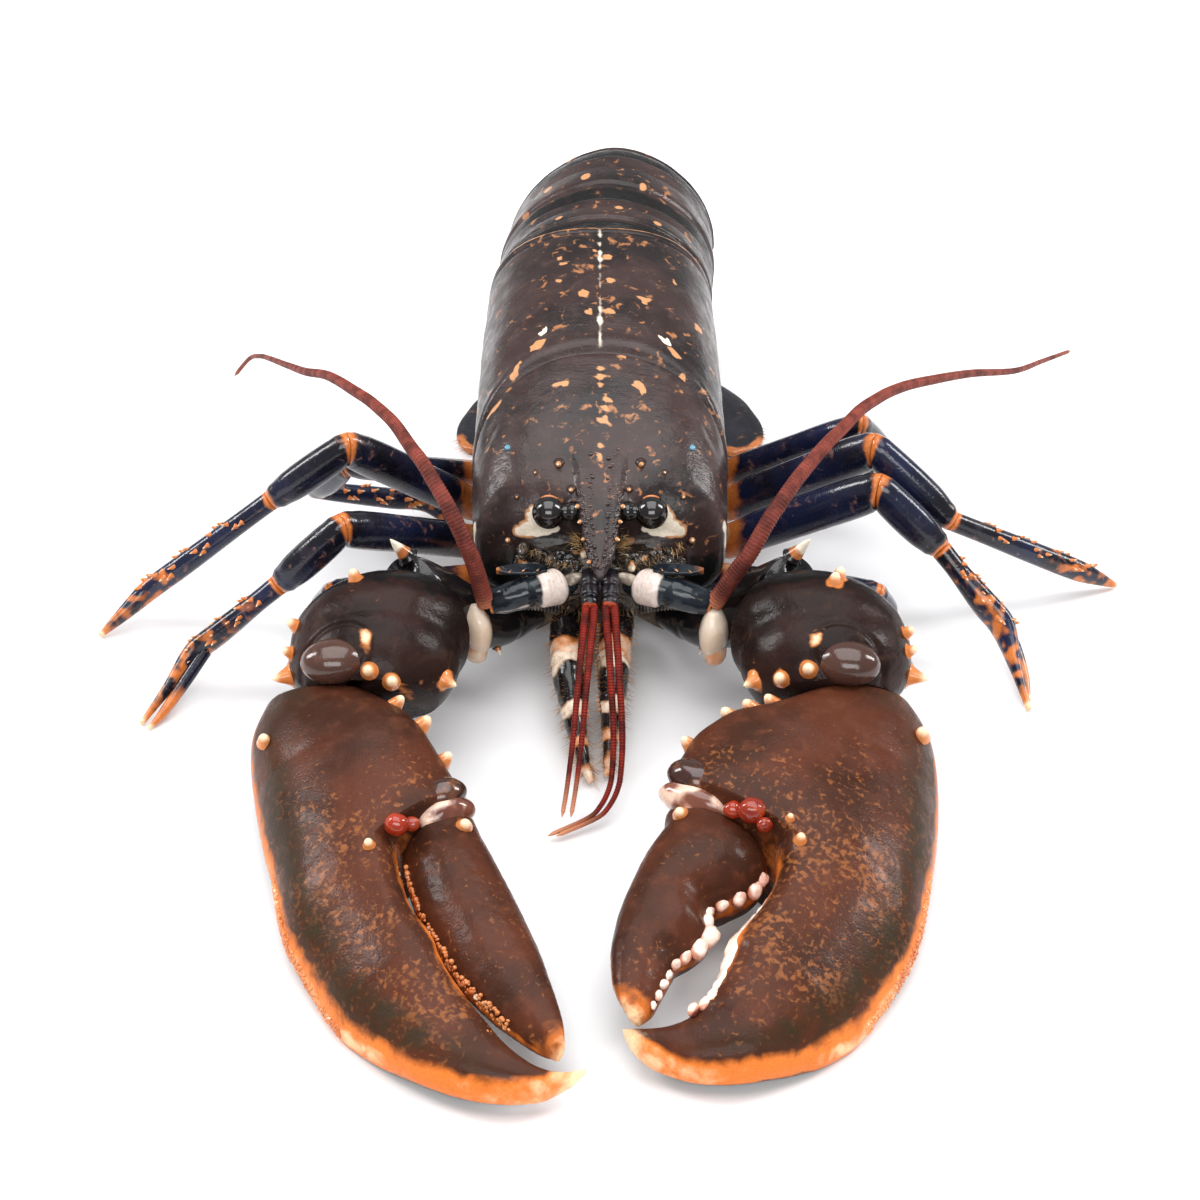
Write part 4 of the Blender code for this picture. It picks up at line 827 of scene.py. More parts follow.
def horn_finish(name, *tones, pitch):
    """Ringed horn: thin darker rings every pitch along the whip, paler where painted."""
    base, ring_tone, tip_tone = [srgb(*tone) for tone in tones]
    material, tree, shader, place = new_finish(name)
    run = add_node(tree, "ShaderNodeSeparateXYZ",
                   {"Vector": add_node(tree, "ShaderNodeAttribute", attribute_name="run").outputs["Vector"]})
    paint = add_node(tree, "ShaderNodeSeparateColor",
                     {"Color": add_node(tree, "ShaderNodeAttribute",
                                        attribute_name="paint").outputs["Color"]})
    turns = sum_of(tree, run.outputs["Y"], pitch, "DIVIDE")
    wave = add_node(tree, "ShaderNodeMath", {0: sum_of(tree, turns, 2 * pi, "MULTIPLY")},
                    operation="SINE").outputs[0]
    clouds = cloud(tree, place, 300.0, 4.0)
    colour = mixed(tree, span(tree, clouds, 0.3, 0.7), base, ring_tone)
    colour = mixed(tree, span(tree, wave, 0.1, 0.9, 0.0, 0.75), colour, ring_tone)
    colour = mixed(tree, paint.outputs["Red"], colour, tip_tone)
    bump = add_node(tree, "ShaderNodeBump", {"Height": wave, "Strength": 0.5, "Distance": 0.0001}).outputs[0]
    wire(tree, shader,
         {"Base Color": colour, "Normal": bump, "Roughness": span(tree, clouds, 0.2, 0.8, 0.28, 0.5),
          "Coat Weight": 0.04, "Coat Roughness": 0.25, "Specular IOR Level": 0.1})
    return material


feeler_horn = horn_finish("feeler_horn", (138, 66, 54), (84, 39, 33), (196, 120, 90), pitch=RING_PITCH)
base_shell = shell_finish("base_shell", (30, 38, 46), (14, 17, 24), (58, 72, 70), (150, 140, 100),
                          (206, 128, 66), (232, 214, 204), (14, 14, 18), flecks=0.25, fleck_scale=420.0,
                          roughness=0.18, pits=0.1, coat=0.35, soft=0.35)
for name, side in SIDES.items():
    path = [mirrored(p, side) for p in PEDUNCLE]
    whip = even_path([mirrored(p, side) for p in FEELERS[name]], RING_PITCH / STEPS_PER_RING)
    leave = (whip[6] - whip[0]).normalized()
    whip = [p + leave * 0.3 for p in whip]
    sizes = [(i / 6, r) for i, r in enumerate(FEELER_RADII)]
    clay = new_clay()
    last = len(whip) - 1
    rings = pipe_rings(whip, lambda t: value_at(sizes, t), Vector((0, 0, 1)), 14)
    for i, ring in enumerate(rings):
        bulge = 1.0 + 0.045 * cos(2 * pi * (i % STEPS_PER_RING) / STEPS_PER_RING)
        if i >= last - WHIP_TIP:
            bulge = 1.0 - 0.09 * (i - last + WHIP_TIP) ** 0.9
        for k, point in enumerate(ring):
            ring[k] = whip[i] + (point - whip[i]) * max(bulge, 0.08)
    add_rings(clay, rings, lambda p, i, k: (0.75 * bell(i, 14.0) + 0.35 * clamp((i / last - 0.93) / 0.07),
                                            0.0, 0.0))
    cast("feeler_whip_" + name, clay, [feeler_horn], ["feeler_" + name])

    clay = new_clay()
    stem = even_path([mirrored((7.4, -28.8, 28.2), side)] + path, 0.28)
    profile = [(0.0, 3.0), (0.13, 3.5), (0.2, 4.3), (0.38, 4.35), (0.46, 3.5), (0.5, 3.3), (0.56, 3.75),
               (0.8, 3.5), (0.93, 2.9), (0.97, 2.55), (1.0, 2.3)]
    rings = pipe_rings(stem, lambda t: value_at(profile, t), Vector((0, 0, 1)), 72)
    count = len(rings) - 1

    def base_paint(point, i, k, count=count):
        t = i / count
        band = clamp((t - 0.14) / 0.05) * clamp((0.45 - t) / 0.03) * (0.88 + 0.12 * sin(t * 150))
        line = 0.6 * bell(k - 50, 1.6) * clamp((t - 0.55) / 0.05) * clamp((0.95 - t) / 0.05)
        return (0.9 * bell(t - 0.99, 0.02), max(band, line), 0.0)

    add_rings(clay, rings, base_paint)
    blade = []
    for i in range(30):
        t = i / 29
        half = value_at([(0, 1.2), (0.3, 2.0), (0.7, 1.7), (0.9, 1.0), (1.0, 0.25)], t)
        centre = mirrored(Vector((12.3, -31.4, 33.5)).lerp(Vector((24.0, -34.2, 35.4)), t), side)
        blade.append([centre + Vector((0, half * cos(a), 0.85 * sin(a) + 0.3 * cos(2 * a)))
                      for a in circle(40)])
    add_rings(clay, blade, lambda p, i, k: (0.5 * bell(i / 29 - 1, 0.15), 0.0, 0.3))
    for x, y, z, size in ((17.4, -34.4, 35.2, 1.0), (20.6, -35.2, 35.4, 0.9), (14.2, -33.6, 34.6, 0.8)):
        add_thorn(clay, (side * x, y + 0.8, z), (side * 0.5, -1.0, 0.3), size * 0.4, size * 1.5, orange_tip)
    base_piece = cast("feeler_stem_" + name, clay, [base_shell], ["feeler_base_" + name])
    relief(base_piece, ripple((0.12, 0.6)))

# The small feelers are two pairs of thin brick-red strands on short dark stems below the rostrum; they
# droop forward over the mouth legs.
SMALL_FEELERS = {
    "l": [(2.3, -41.5, 30), (3.4, -56, 22.5), (4.1, -68, 13), (3.6, -75, 7.4), (0.2, -82, 3.4),
          (-11, -88.5, 1.6)],
    "r": [(-2.3, -41.5, 30), (-3.6, -55, 24), (-5.4, -72, 13), (-6.6, -80, 7.5), (-7.6, -85, 4)],
}
SMALL_ROOT = Vector((2.5, -31.0, 32.0))
small_horn = horn_finish("small_horn", (136, 32, 18), (66, 17, 12), (214, 150, 112), pitch=0.7)
stem_shell = shell_finish("stem_shell", (30, 26, 34), (16, 15, 20), (66, 52, 50), (150, 110, 80),
                          (190, 80, 46), (206, 180, 160), (12, 12, 15), flecks=0.2, roughness=0.26,
                          pits=0.15, coat=0.2)
for name, side in SIDES.items():
    root = mirrored(SMALL_ROOT, side)
    strands = [Vector(p) for p in SMALL_FEELERS[name]]
    clay = new_clay()
    stem = even_path([root, root.lerp(strands[0], 0.5), strands[0]], 0.3)
    swell = [(0, 1.9), (0.3, 2.3), (0.42, 1.9), (0.5, 2.25), (0.68, 2.2), (0.76, 1.8), (0.86, 2.05), (1, 1.6)]
    add_rings(clay, pipe_rings(stem, lambda t: value_at(swell, t), Vector((1, 0, 0)), 40),
              lambda p, i, k: (0.8 * bell(i / len(stem) - 1, 0.08), 0.0, 0.0))
    for step in (-1.0, 1.0):
        route = [root.lerp(strands[0], 0.7) + Vector((step * 0.8, 0, 0))]
        route += [p + Vector((step, 0, 0)) for p in strands]
        strand = even_path(route, 0.2)
        rings = pipe_rings(strand, lambda t: 0.98 * (1 - 0.5 * t), Vector((1, 0, 0)), 10)
        count = len(rings)
        for i, ring in enumerate(rings):
            bulge = (1.0 + 0.05 * cos(2 * pi * i / 3.5)) * min(1.0, (count - i) * 0.12)
            rings[i] = [strand[i] + (p - strand[i]) * bulge for p in ring]
        start = len(clay["faces"])
        add_rings(clay, rings, lambda p, i, k: (0.85 * clamp((i / count - 0.8) / 0.2), 0.0, 0.0))
        clay.setdefault("horn", []).append((start, len(clay["faces"])))
    piece = cast("small_feeler_strands_" + name, clay, [stem_shell, small_horn], ["small_feeler_" + name])
    for start, end in clay["horn"]:
        for polygon in piece.data.polygons[start:end]:
            polygon.material_index = 1

# The outer mouth legs lie together under the head and reach forward to the floor. Their plates are
# banded black, cream and orange, with a saw edge inside and thick golden bristles.
MOUTH_LEGS = {
    "l": [(5.2, -20.6, 12.2), (3.8, -31, 14.4), (3.2, -41, 13), (2.7, -53, 8.4), (2.1, -63, 3.8),
          (1.6, -67.5, 1.2)],
    "r": [(-7.2, -20.6, 12.2), (-8.0, -31, 14.4), (-7.6, -41, 13), (-6.1, -53, 8.4), (-3.9, -64, 3.8),
          (-2.1, -69.5, 1.2)],
}
MOUTH_LEG_RADII = [(0, 3.2), (0.2, 4.2), (0.4, 4.2), (0.6, 3.4), (0.8, 2.2), (1, 0.8)]
MOUTH_LEG_JOINTS = [0.17, 0.42, 0.6, 0.78]
MOUTH_TUFTS = (0.18, 0.3, 0.43, 0.52, 0.6, 0.7, 0.79, 0.88, 0.95)
MOUTH_HAIRS = 520
# Bands along the leg, as (share of the way, half width, orange, cream).
BANDS = [(0.06, 0.05, 0.3, 0.9), (0.36, 0.05, 0.9, 0.5), (0.43, 0.045, 0.5, 0.95), (0.66, 0.04, 0.6, 0.8),
         (0.82, 0.035, 0.9, 0.4), (0.97, 0.06, 0.9, 0.6)]
mouth_shell = shell_finish("mouth_shell", (22, 19, 22), (14, 12, 15), (54, 44, 44), (150, 100, 66),
                           (226, 138, 70), (255, 234, 210), (10, 10, 12), flecks=0.2, roughness=0.2,
                           pits=0.2, coat=0.5, soft=0.35)
golden_hair = hair_finish("golden_hair", (146, 92, 44), (214, 160, 92))
for name, side in SIDES.items():
    path = even_path(MOUTH_LEGS[name], 0.3)
    last = len(path) - 1

    def plate(t):
        pinch = sum(bell(t - joint, 0.012) for joint in MOUTH_LEG_JOINTS)
        return value_at(MOUTH_LEG_RADII, t) * (1.04 - 0.14 * pinch)

    rings = pipe_rings(path, plate, Vector((1, 0, 0)), 60, 1.12)
    rings = [[middle + Vector((0.9 * (p - middle).x, *(p - middle).yz)) for p in ring]
             for middle, ring in zip(path, rings)]

    def band_paint(point, i, k):
        t = i / last + 0.05 * noise.noise(point * 0.22 + Vector((0, 0, 5.0)))
        orange = max(o * clamp(1.6 - abs(t - at) / half * 1.2) for at, half, o, c in BANDS)
        cream = max(c * clamp(1.5 - abs(t - at) / half * 1.3) for at, half, o, c in BANDS)
        return (orange, cream, 0.0)

    clay = new_clay()
    add_rings(clay, rings, band_paint)
    for step in range(22):
        t = 0.2 + 0.5 * step / 21
        p = path[int(t * last)]
        add_thorn(clay, p + Vector((-side * plate(t) * 0.8, 0, 1.6)), (-side * 0.9, -0.2, 0.5), 0.42, 1.3,
                  orange_tip, sides=7, steps=5)
    piece = cast("mouth_leg_plates_" + name, clay, [mouth_shell], ["mouth_leg_" + name])
    relief(piece, ripple((0.18, 0.45)))
    tufts = random.Random(21 + side)
    spots = []
    for step in range(MOUTH_HAIRS):
        t = tufts.choice(MOUTH_TUFTS) + tufts.gauss(0, 0.02)
        p = path[int(clamp(t) * last)]
        around = tufts.uniform(-0.2, 1.2) * pi
        out = Vector((cos(around), -0.25, sin(around)))
        spots.append((p + Vector((out.x * 0.85, 0, out.z * 1.05)) * plate(clamp(t)),
                      out + Vector((0, -0.7, 0))))
    sow("mouth_leg_hair_" + name, spots, hairs, golden_hair, "mouth_leg", Length=0.0026, Thickness=0.00006,
        Lean=0.35, Seed=9)

# The tail has six overlapping hard rings that curl down and under. Each has a smooth polished band in
# front that slides under the ring before it, a stepped ridge, and side flaps with orange tips.
CURL_Y = 102.5
CURL_Z = 31.0
TAIL_RADIUS = 31.0
TAIL_PLANES = [(73.0, CURL_Z, 0), (87.0, CURL_Z, 0), (CURL_Y, CURL_Z, 14), (CURL_Y, CURL_Z, 55),
               (CURL_Y, CURL_Z, 97), (CURL_Y, CURL_Z, 139), (CURL_Y, CURL_Z, 180)]
TAIL_HALF_WIDTH = [27.4, 27.2, 26.4, 25.4, 24.2, 22.4, 19.6]
TAIL_ARCH = [1.0, 1.12, 1.16, 1.1, 1.0, 1.0]
TAIL_WIDEST = 5.0
TAIL_DRIFT = 0.09
TAIL_BELLY = [4.5, 4.5, 5.5, 8.0, 11.0, 13.0, 14.5]
PLEURA_TIP = [-3.0, -12.5, 2.6, 2.6, 2.6, 4.0]
GAP = 0.3
TAIL_ROWS = 56
BACK_STEPS = 90
# Orange blotches on the first rings, as (x, share of the ring, radius in mm).
TAIL_BLOTCHES = {0: [(-11, 0.5, 0.9), (4, 0.7, 1.0), (14, 0.45, 0.9)],
                 1: [(-6, 0.5, 1.1), (9, 0.35, 0.9), (-16, 0.6, 1.0)], 2: [(5, 0.6, 1.2), (-12, 0.4, 1.0)],
                 3: [(-4, 0.5, 1.2), (12, 0.6, 1.0)], 4: [(6, 0.5, 1.1)], 5: [(-5, 0.4, 1)]}
belly_skin = shell_finish("belly_skin", (92, 78, 66), (58, 48, 44), (140, 124, 104), (170, 120, 84),
                          SHELL_ORANGE, SHELL_CREAM, (26, 22, 24), flecks=0.3, roughness=0.4, pits=0.3,
                          coat=0.3)


def tail_point(plane, x, radius, shift=0.0):
    """A point of one cross plane of the tail, which drifts a little to the animal's left."""
    y, z, turn = plane
    a = radians(turn)
    y = y + radius * sin(a) + shift * cos(a)
    return Vector((x + TAIL_DRIFT * (y - SHIELD_REAR), y, z + radius * cos(a) - shift * sin(a)))


def tail_mix(values, number, share):
    return values[number] + (values[number + 1] - values[number]) * share


def tail_plane(number, share):
    return [a + (b - a) * share for a, b in zip(TAIL_PLANES[number], TAIL_PLANES[number + 1])]


def tail_ring(share, number, shift):
    """One cross section of a tail ring: the arched back, the side flaps and the belly between them."""
    plane = tail_plane(number, share)
    half = tail_mix(TAIL_HALF_WIDTH, number, share)
    belly = tail_mix(TAIL_BELLY, number, share)
    reach = PLEURA_TIP[number] + ((1 - sin(pi * share)) * 7.0 if number < 2 else 0.0)
    if number >= 2:
        reach += 2.2 * (abs(share - 0.55) / 0.55) ** 3
    lift = 0.7 * sin(pi * min(share * 1.4, 1.0)) - 0.35 * bell(share - 0.3, 0.05)
    lift += 0.3 * clamp((share - 0.3) / 0.06) - 0.7 * clamp((share - 0.965) / 0.035)
    back = TAIL_RADIUS - 0.8 + lift
    profile = []
    for k in range(BACK_STEPS):
        a = pi / 2 * (1 - k / (BACK_STEPS - 1))
        out = abs(cos(a)) ** TAIL_ARCH[number]
        profile.append(((half + lift) * out, TAIL_WIDEST + (back - TAIL_WIDEST) * sin(a)))
    flap = [(half + lift, TAIL_WIDEST), (half + lift - 0.5, (TAIL_WIDEST + reach) * 0.5),
            (half - 1.5, reach + 0.9), (half - 2.9, reach), (half - 4.0, reach + 0.12 * (belly - reach)),
            (half - 5.4, reach + 0.4 * (belly - reach)), (half - 7.0, belly)]
    for k in range(1, 37):
        at = 6 * k / 36
        i = min(int(at), 5)
        t = at - i
        profile.append(tuple(a + (b - a) * t for a, b in zip(flap[i], flap[i + 1])))
    for k in range(1, 13):
        x = (half - 7.0) * (1 - k / 12)
        profile.append((x, belly + 0.8 * sin(pi * k / 12 * 1.5) * 0.5))
    ring = [tail_point(plane, x, r, shift) for x, r in profile]
    return ring + [tail_point(plane, -x, r, shift) for x, r in reversed(profile[1:-1])]


for number in range(6):
    clay = new_clay()
    rings = [tail_ring(i / TAIL_ROWS, number, GAP / 2 * (1 - 2 * i / TAIL_ROWS))
             for i in range(TAIL_ROWS + 1)]
    tip_at = 0.62 if number < 2 else 0.5

    def tail_paint(point, i, k, number=number, tip_at=tip_at):
        share = i / TAIL_ROWS
        count = BACK_STEPS + 48
        place = min(k, 2 * count - 2 - k)
        blotches = [(x, s * 14, r) for x, s, r in TAIL_BLOTCHES[number]]
        across = point.x - TAIL_DRIFT * (point.y - SHIELD_REAR)
        orange = blot(across, share * 14, blotches) if place < BACK_STEPS else 0
        along_flap = clamp((place - BACK_STEPS) / 36)
        if 0 < along_flap:
            orange = max(orange, 0.9 * bell(along_flap - 0.5, 0.14) * bell(share - tip_at, 0.3))
        orange = max(orange, 0.45 * clamp((share - 0.93) / 0.07) * (place < BACK_STEPS))
        cream = 0.7 * bell(along_flap - 0.52, 0.08) * bell(share - tip_at, 0.16)
        dark = 0.7 * clamp((0.26 - share) / 0.08)
        return (orange, cream, dark)

    add_rings(clay, rings, tail_paint)
    if 1 <= number <= 4:
        plane = tail_plane(number, 0.5)
        belly = TAIL_BELLY[number]
        deep = -6.0 if number == 1 else 3.0
        for side in SIDES.values():
            paddle = []
            for i in range(20):
                t = i / 19
                radius = belly + 2.7 + (deep - belly - 2.7) * t
                half = 2.0 + 0.7 * sin(pi * t) - 0.9 * t * t
                thin = 0.85 * sqrt(max(1 - t ** 4, 0.02)) * (1 - 0.3 * t)
                paddle.append([tail_point(plane, side * 9.7 + half * cos(a), radius, thin * sin(a))
                               for a in circle(24)])
            add_rings(clay, paddle, lambda p, i, k: (0.5 * clamp((i - 13) / 6), 0.0, 0.0))
    piece = cast(f"tail_ring_{number + 1}", clay, [shell], [f"tail_{number + 1}"])
    relief(piece, ripple((0.1, 0.2), (0.03, 1.2)))

# The tail fan lies curled under, upper face down: a middle plate and two on each side, dark blue-black
# with fine ribs, an orange edge and a fringe of stiff hairs.
TELSON_LENGTH = 42.0
FAN_PLATES = {
    "inner": {"root": 12.6, "turn": 8.0, "length": 42.0,
              "narrow": 2.4, "wide": 9.0, "rest": 3.75, "rise": 2.7},
    "outer": {"root": 18.0, "turn": 22.0, "length": 45.0,
              "narrow": 2.2, "wide": 9.4, "rest": 0.95, "rise": 3.2},
}
FAN_THICKNESS = 2.0
FRINGE_START = 48
FAN_START = CURL_Y - GAP
FAN_MIDDLE = TAIL_DRIFT * (FAN_START - SHIELD_REAR)
fan_shell = shell_finish("fan_shell", (30, 32, 44), (18, 17, 24), (62, 54, 62), (150, 104, 72),
                         (200, 120, 66), SHELL_CREAM, (12, 12, 18), flecks=0.4, roughness=0.25, pits=0.2,
                         coat=0.7)
fringe_hair = hair_finish("fringe_hair", (150, 92, 48), (206, 150, 96))
FAN_SIDES = 64
FAN_STEPS = 60


def fan_ring(centre, along, half, thickness):
    """A flat oval section of a fan plate with fine ribs along it."""
    across = Vector((-along.y, along.x, 0))
    ring = []
    for a in circle(FAN_SIDES):
        c = power(cos(a), 0.75)
        rib = 0.07 * cos(c * 24) * abs(sin(a))
        ring.append(centre + across * half * c + Vector((0, 0, (thickness / 2 + rib) * sin(a))))
    return ring


def fan_paint(point, i, k):
    edge = abs(cos(2 * pi * k / FAN_SIDES))
    end = 0.8 * clamp((i / FAN_STEPS - 0.93) / 0.05)
    return (0.9 * clamp((i / FAN_STEPS - 0.8) / 0.15) * clamp((edge - 0.2) / 0.5) + end, 0.0, 0.0)


telson_half = [(0, 9.2), (2, 9.3), (5, 9.6), (9, 10.6), (18, 11.6), (28, 11.6), (36, 10.4), (40, 7.8),
               (42, 4.0)]
clay = new_clay()
rings = []
for i in range(FAN_STEPS + 1):
    s = TELSON_LENGTH * i / FAN_STEPS
    thickness = 2.2 + 7.0 * exp(-s / 2.2)
    rings.append(fan_ring(Vector((FAN_MIDDLE, FAN_START - s, thickness / 2 - 0.1)), Vector((0, -1, 0)),
                          value_at(telson_half, s), thickness))
add_rings(clay, rings, fan_paint)
cast("telson_plate", clay, [fan_shell], ["telson"])
fringe = random.Random(31)
fringe_spots = [((FAN_MIDDLE + fringe.uniform(-8, 8), FAN_START - TELSON_LENGTH + 0.8,
                  0.9 + fringe.uniform(-0.5, 0.9)), (fringe.uniform(-0.2, 0.2), -1.0, 0.12))
                for step in range(160)]
for side_name, side in SIDES.items():
    for name, plate in FAN_PLATES.items():
        turn = radians(plate["turn"])
        along = Vector((side * sin(turn), -cos(turn), 0))
        root = Vector((FAN_MIDDLE + side * plate["root"], FAN_START, 0))
        rings = []
        for i in range(FAN_STEPS + 1):
            share = i / FAN_STEPS
            s = share * plate["length"]
            grow = min(s / 26, 1.0)
            half = plate["narrow"] + (plate["wide"] - plate["narrow"]) * grow * grow * (3 - 2 * grow)
            half *= sqrt(max(1 - max(share - 0.7, 0) ** 2 / 0.098, 0.05))
            rise = plate["rest"] + plate["rise"] * exp(-s / 4.5)
            ring = fan_ring(root + along * s + Vector((0, 0, rise)), along, half, FAN_THICKNESS)
            rings.append([Vector((p.x, FAN_START, p.z)) if i == 0 else p for p in ring])
            if i > FRINGE_START:
                across = Vector((-along.y, along.x, 0))
                for step in range(11):
                    way = fringe.uniform(-1, 1)
                    level = Vector((0, 0, rise + fringe.uniform(-0.4, 0.6)))
                    spread = across * way * (0.3 + share) * 0.6 + Vector((0, 0, 0.08))
                    fringe_spots.append((root + along * (s - 0.4) + across * half * way + level,
                                         along + spread))
        clay = new_clay()
        add_rings(clay, rings, fan_paint)
        cast(f"fan_{name}_{side_name}_plate", clay, [fan_shell], [f"fan_{name}_{side_name}"])
sow("fan_fringe", fringe_spots, hairs, fringe_hair, "shell", Length=0.0026, Thickness=0.00007, Lean=0.12,
    Seed=12)

# The eight walking legs are slim glossy tubes of blue-black shell in three pieces each. Orange skin and
# knuckles show at the joints, and the feet have orange thorns and tips; the first two pairs end in pincers.
LEG_ROOT_X = 19.5
LEG_ROOT_Z = 8.8
LEGS = {
    "r": [
        (0, (31, -7, 12), (62, -29, 24.5), (66, -22, 13), (52, -10, 5), (43, -2, 0.6)),
        (13, (31, 8, 12), (60, -24, 40), (75.4, -26, 25), (96, -32, 9), (107.5, -48, 0.6)),
        (26, (31, 23, 12), (60, 0, 46), (78.5, -2, 32), (109.5, -6, 7.5), (121, -15, 0.6)),
        (38, (31, 36, 12), (62, 14, 31), (70, 25, 15), (44, 33, 5.5), (35, 29, 0.6)),
    ],
    "l": [
        (0, (31, -7, 12), (64, -30, 25), (67.5, -23.5, 13.5), (54, -11, 5), (45, -3, 0.6)),
        (13, (31, 8, 12), (66.3, -6, 38), (81.2, -11, 24), (95.9, -23, 10), (101, -43, 0.6)),
        (26, (31, 23, 12), (65.6, 5, 42), (84.3, -3, 26.5), (117, 2.6, 7), (127, 5, 0.6)),
        (38, (31, 36, 12), (63, 20, 38), (70.5, 30, 21), (46, 34, 6), (36, 30, 0.6)),
    ],
}
LEG_THICKNESS = [0.92, 1.0, 0.97, 0.85]
PINCER_LEGS = 2
LEG_SIDES = 40
LEG_STEP = 0.55
leg_shell = shell_finish("leg_shell", (27, 33, 60), (17, 16, 24), (56, 46, 60), (128, 92, 84),
                         (206, 116, 54), (240, 206, 164), (9, 9, 13), flecks=0.6, fleck_scale=420.0,
                         roughness=0.22, pits=0.3, coat=0.45, soft=0.3)


def mitre(before, at, after):
    """The normal of the plane between two pieces that meet at a joint."""
    return ((at - before).normalized() + (after - at).normalized()).normalized()


def tube_rings(path, radii, reference, sides, start=None, end=None):
    """Rings along a path. Each radius is (along the bend, across it); start and end are the cap normals."""
    rings = []
    last = len(path) - 1
    for i, point in enumerate(path):
        before = (path[i] - path[max(i - 1, 0)]).normalized()
        after = (path[min(i + 1, last)] - path[i]).normalized()
        along = (before + after).normalized()
        normal = start if i == 0 and start is not None else end if i == last and end is not None else along
        stretch = min(1 / max(abs(normal.dot(along)), 0.25), 2.2) ** 0.5
        across = (reference - normal * reference.dot(normal)).normalized()
        up = normal.cross(across)
        centre = point + normal * GAP / 2 * ((i == 0) - (i == last))
        tall, wide = radii[i]
        rings.append([centre + across * wide * cos(a) + up * tall * stretch * sin(a)
                      for a in circle(sides)])
    return rings


def smooth_rings(rings, step):
    """Fills in rings between the given ones along smooth curves, each about a step from the next."""
    centres = [sum(ring, Vector()) / len(ring) for ring in rings]
    places = [0.0]
    for a, b in zip(centres, centres[1:]):
        places.append(places[-1] + (b - a).length)
    total = places[-1]
    count = max(int(total / step), 6)
    filled = []
    for i in range(count + 1):
        at = total * i / count
        k = min(max(j for j in range(len(places)) if places[j] <= at + 1e-9), len(places) - 2)
        span_here = places[k + 1] - places[k]
        t = (at - places[k]) / span_here
        before, after = max(k - 1, 0), min(k + 2, len(rings) - 1)
        lead = span_here / max(places[k + 1] - places[before], 1e-6) if k else 1.0
        trail = span_here / max(places[after] - places[k], 1e-6) if after > k + 1 else 1.0
        h1, h2 = 2 * t ** 3 - 3 * t * t + 1, t ** 3 - 2 * t * t + t
        h3, h4 = 3 * t * t - 2 * t ** 3, t ** 3 - t * t
        filled.append([p * h1 + (q - o) * lead * h2 + q * h3 + (r - p) * trail * h4
                       for o, p, q, r in zip(rings[before], rings[k], rings[k + 1], rings[after])])
    return filled


def knee_side(knee, towards, other, radius):
    """The nearest place to a bent joint where a full-size section clears the joint's plane."""
    half_turn = (towards - knee).angle(knee - other) / 2
    return knee + (towards - knee).normalized() * (radius * tan(half_turn) + 0.4)


def add_leg_piece(clay, path, radii, reference, start, end, skin_shows=(1.0, 1.0)):
    """One tube of a leg; skin_shows says how strongly orange skin shows at its start and its end."""
    first, second = skin_shows
    rings = smooth_rings(tube_rings(path, radii, reference, LEG_SIDES, start, end), LEG_STEP)
    count = len(rings) - 1
    for i, ring in enumerate(rings):
        middle = sum(ring, Vector()) / len(ring)
        rim = 0.05 * (bell(i - 3.2, 1.1) * (first > 0) + bell(count - i - 3.2, 1.1) * (second > 0))
        rim -= 0.07 * (bell(i, 1.3) * (first > 0) + bell(count - i, 1.3) * (second > 0))
        rings[i] = [middle + (p - middle) * (1 + rim) for p in ring]
    add_rings(clay, rings,
              lambda p, i, k: (first * bell(i - 0.2, 1.7) + second * bell(count - i - 0.2, 1.7), 0, 0))


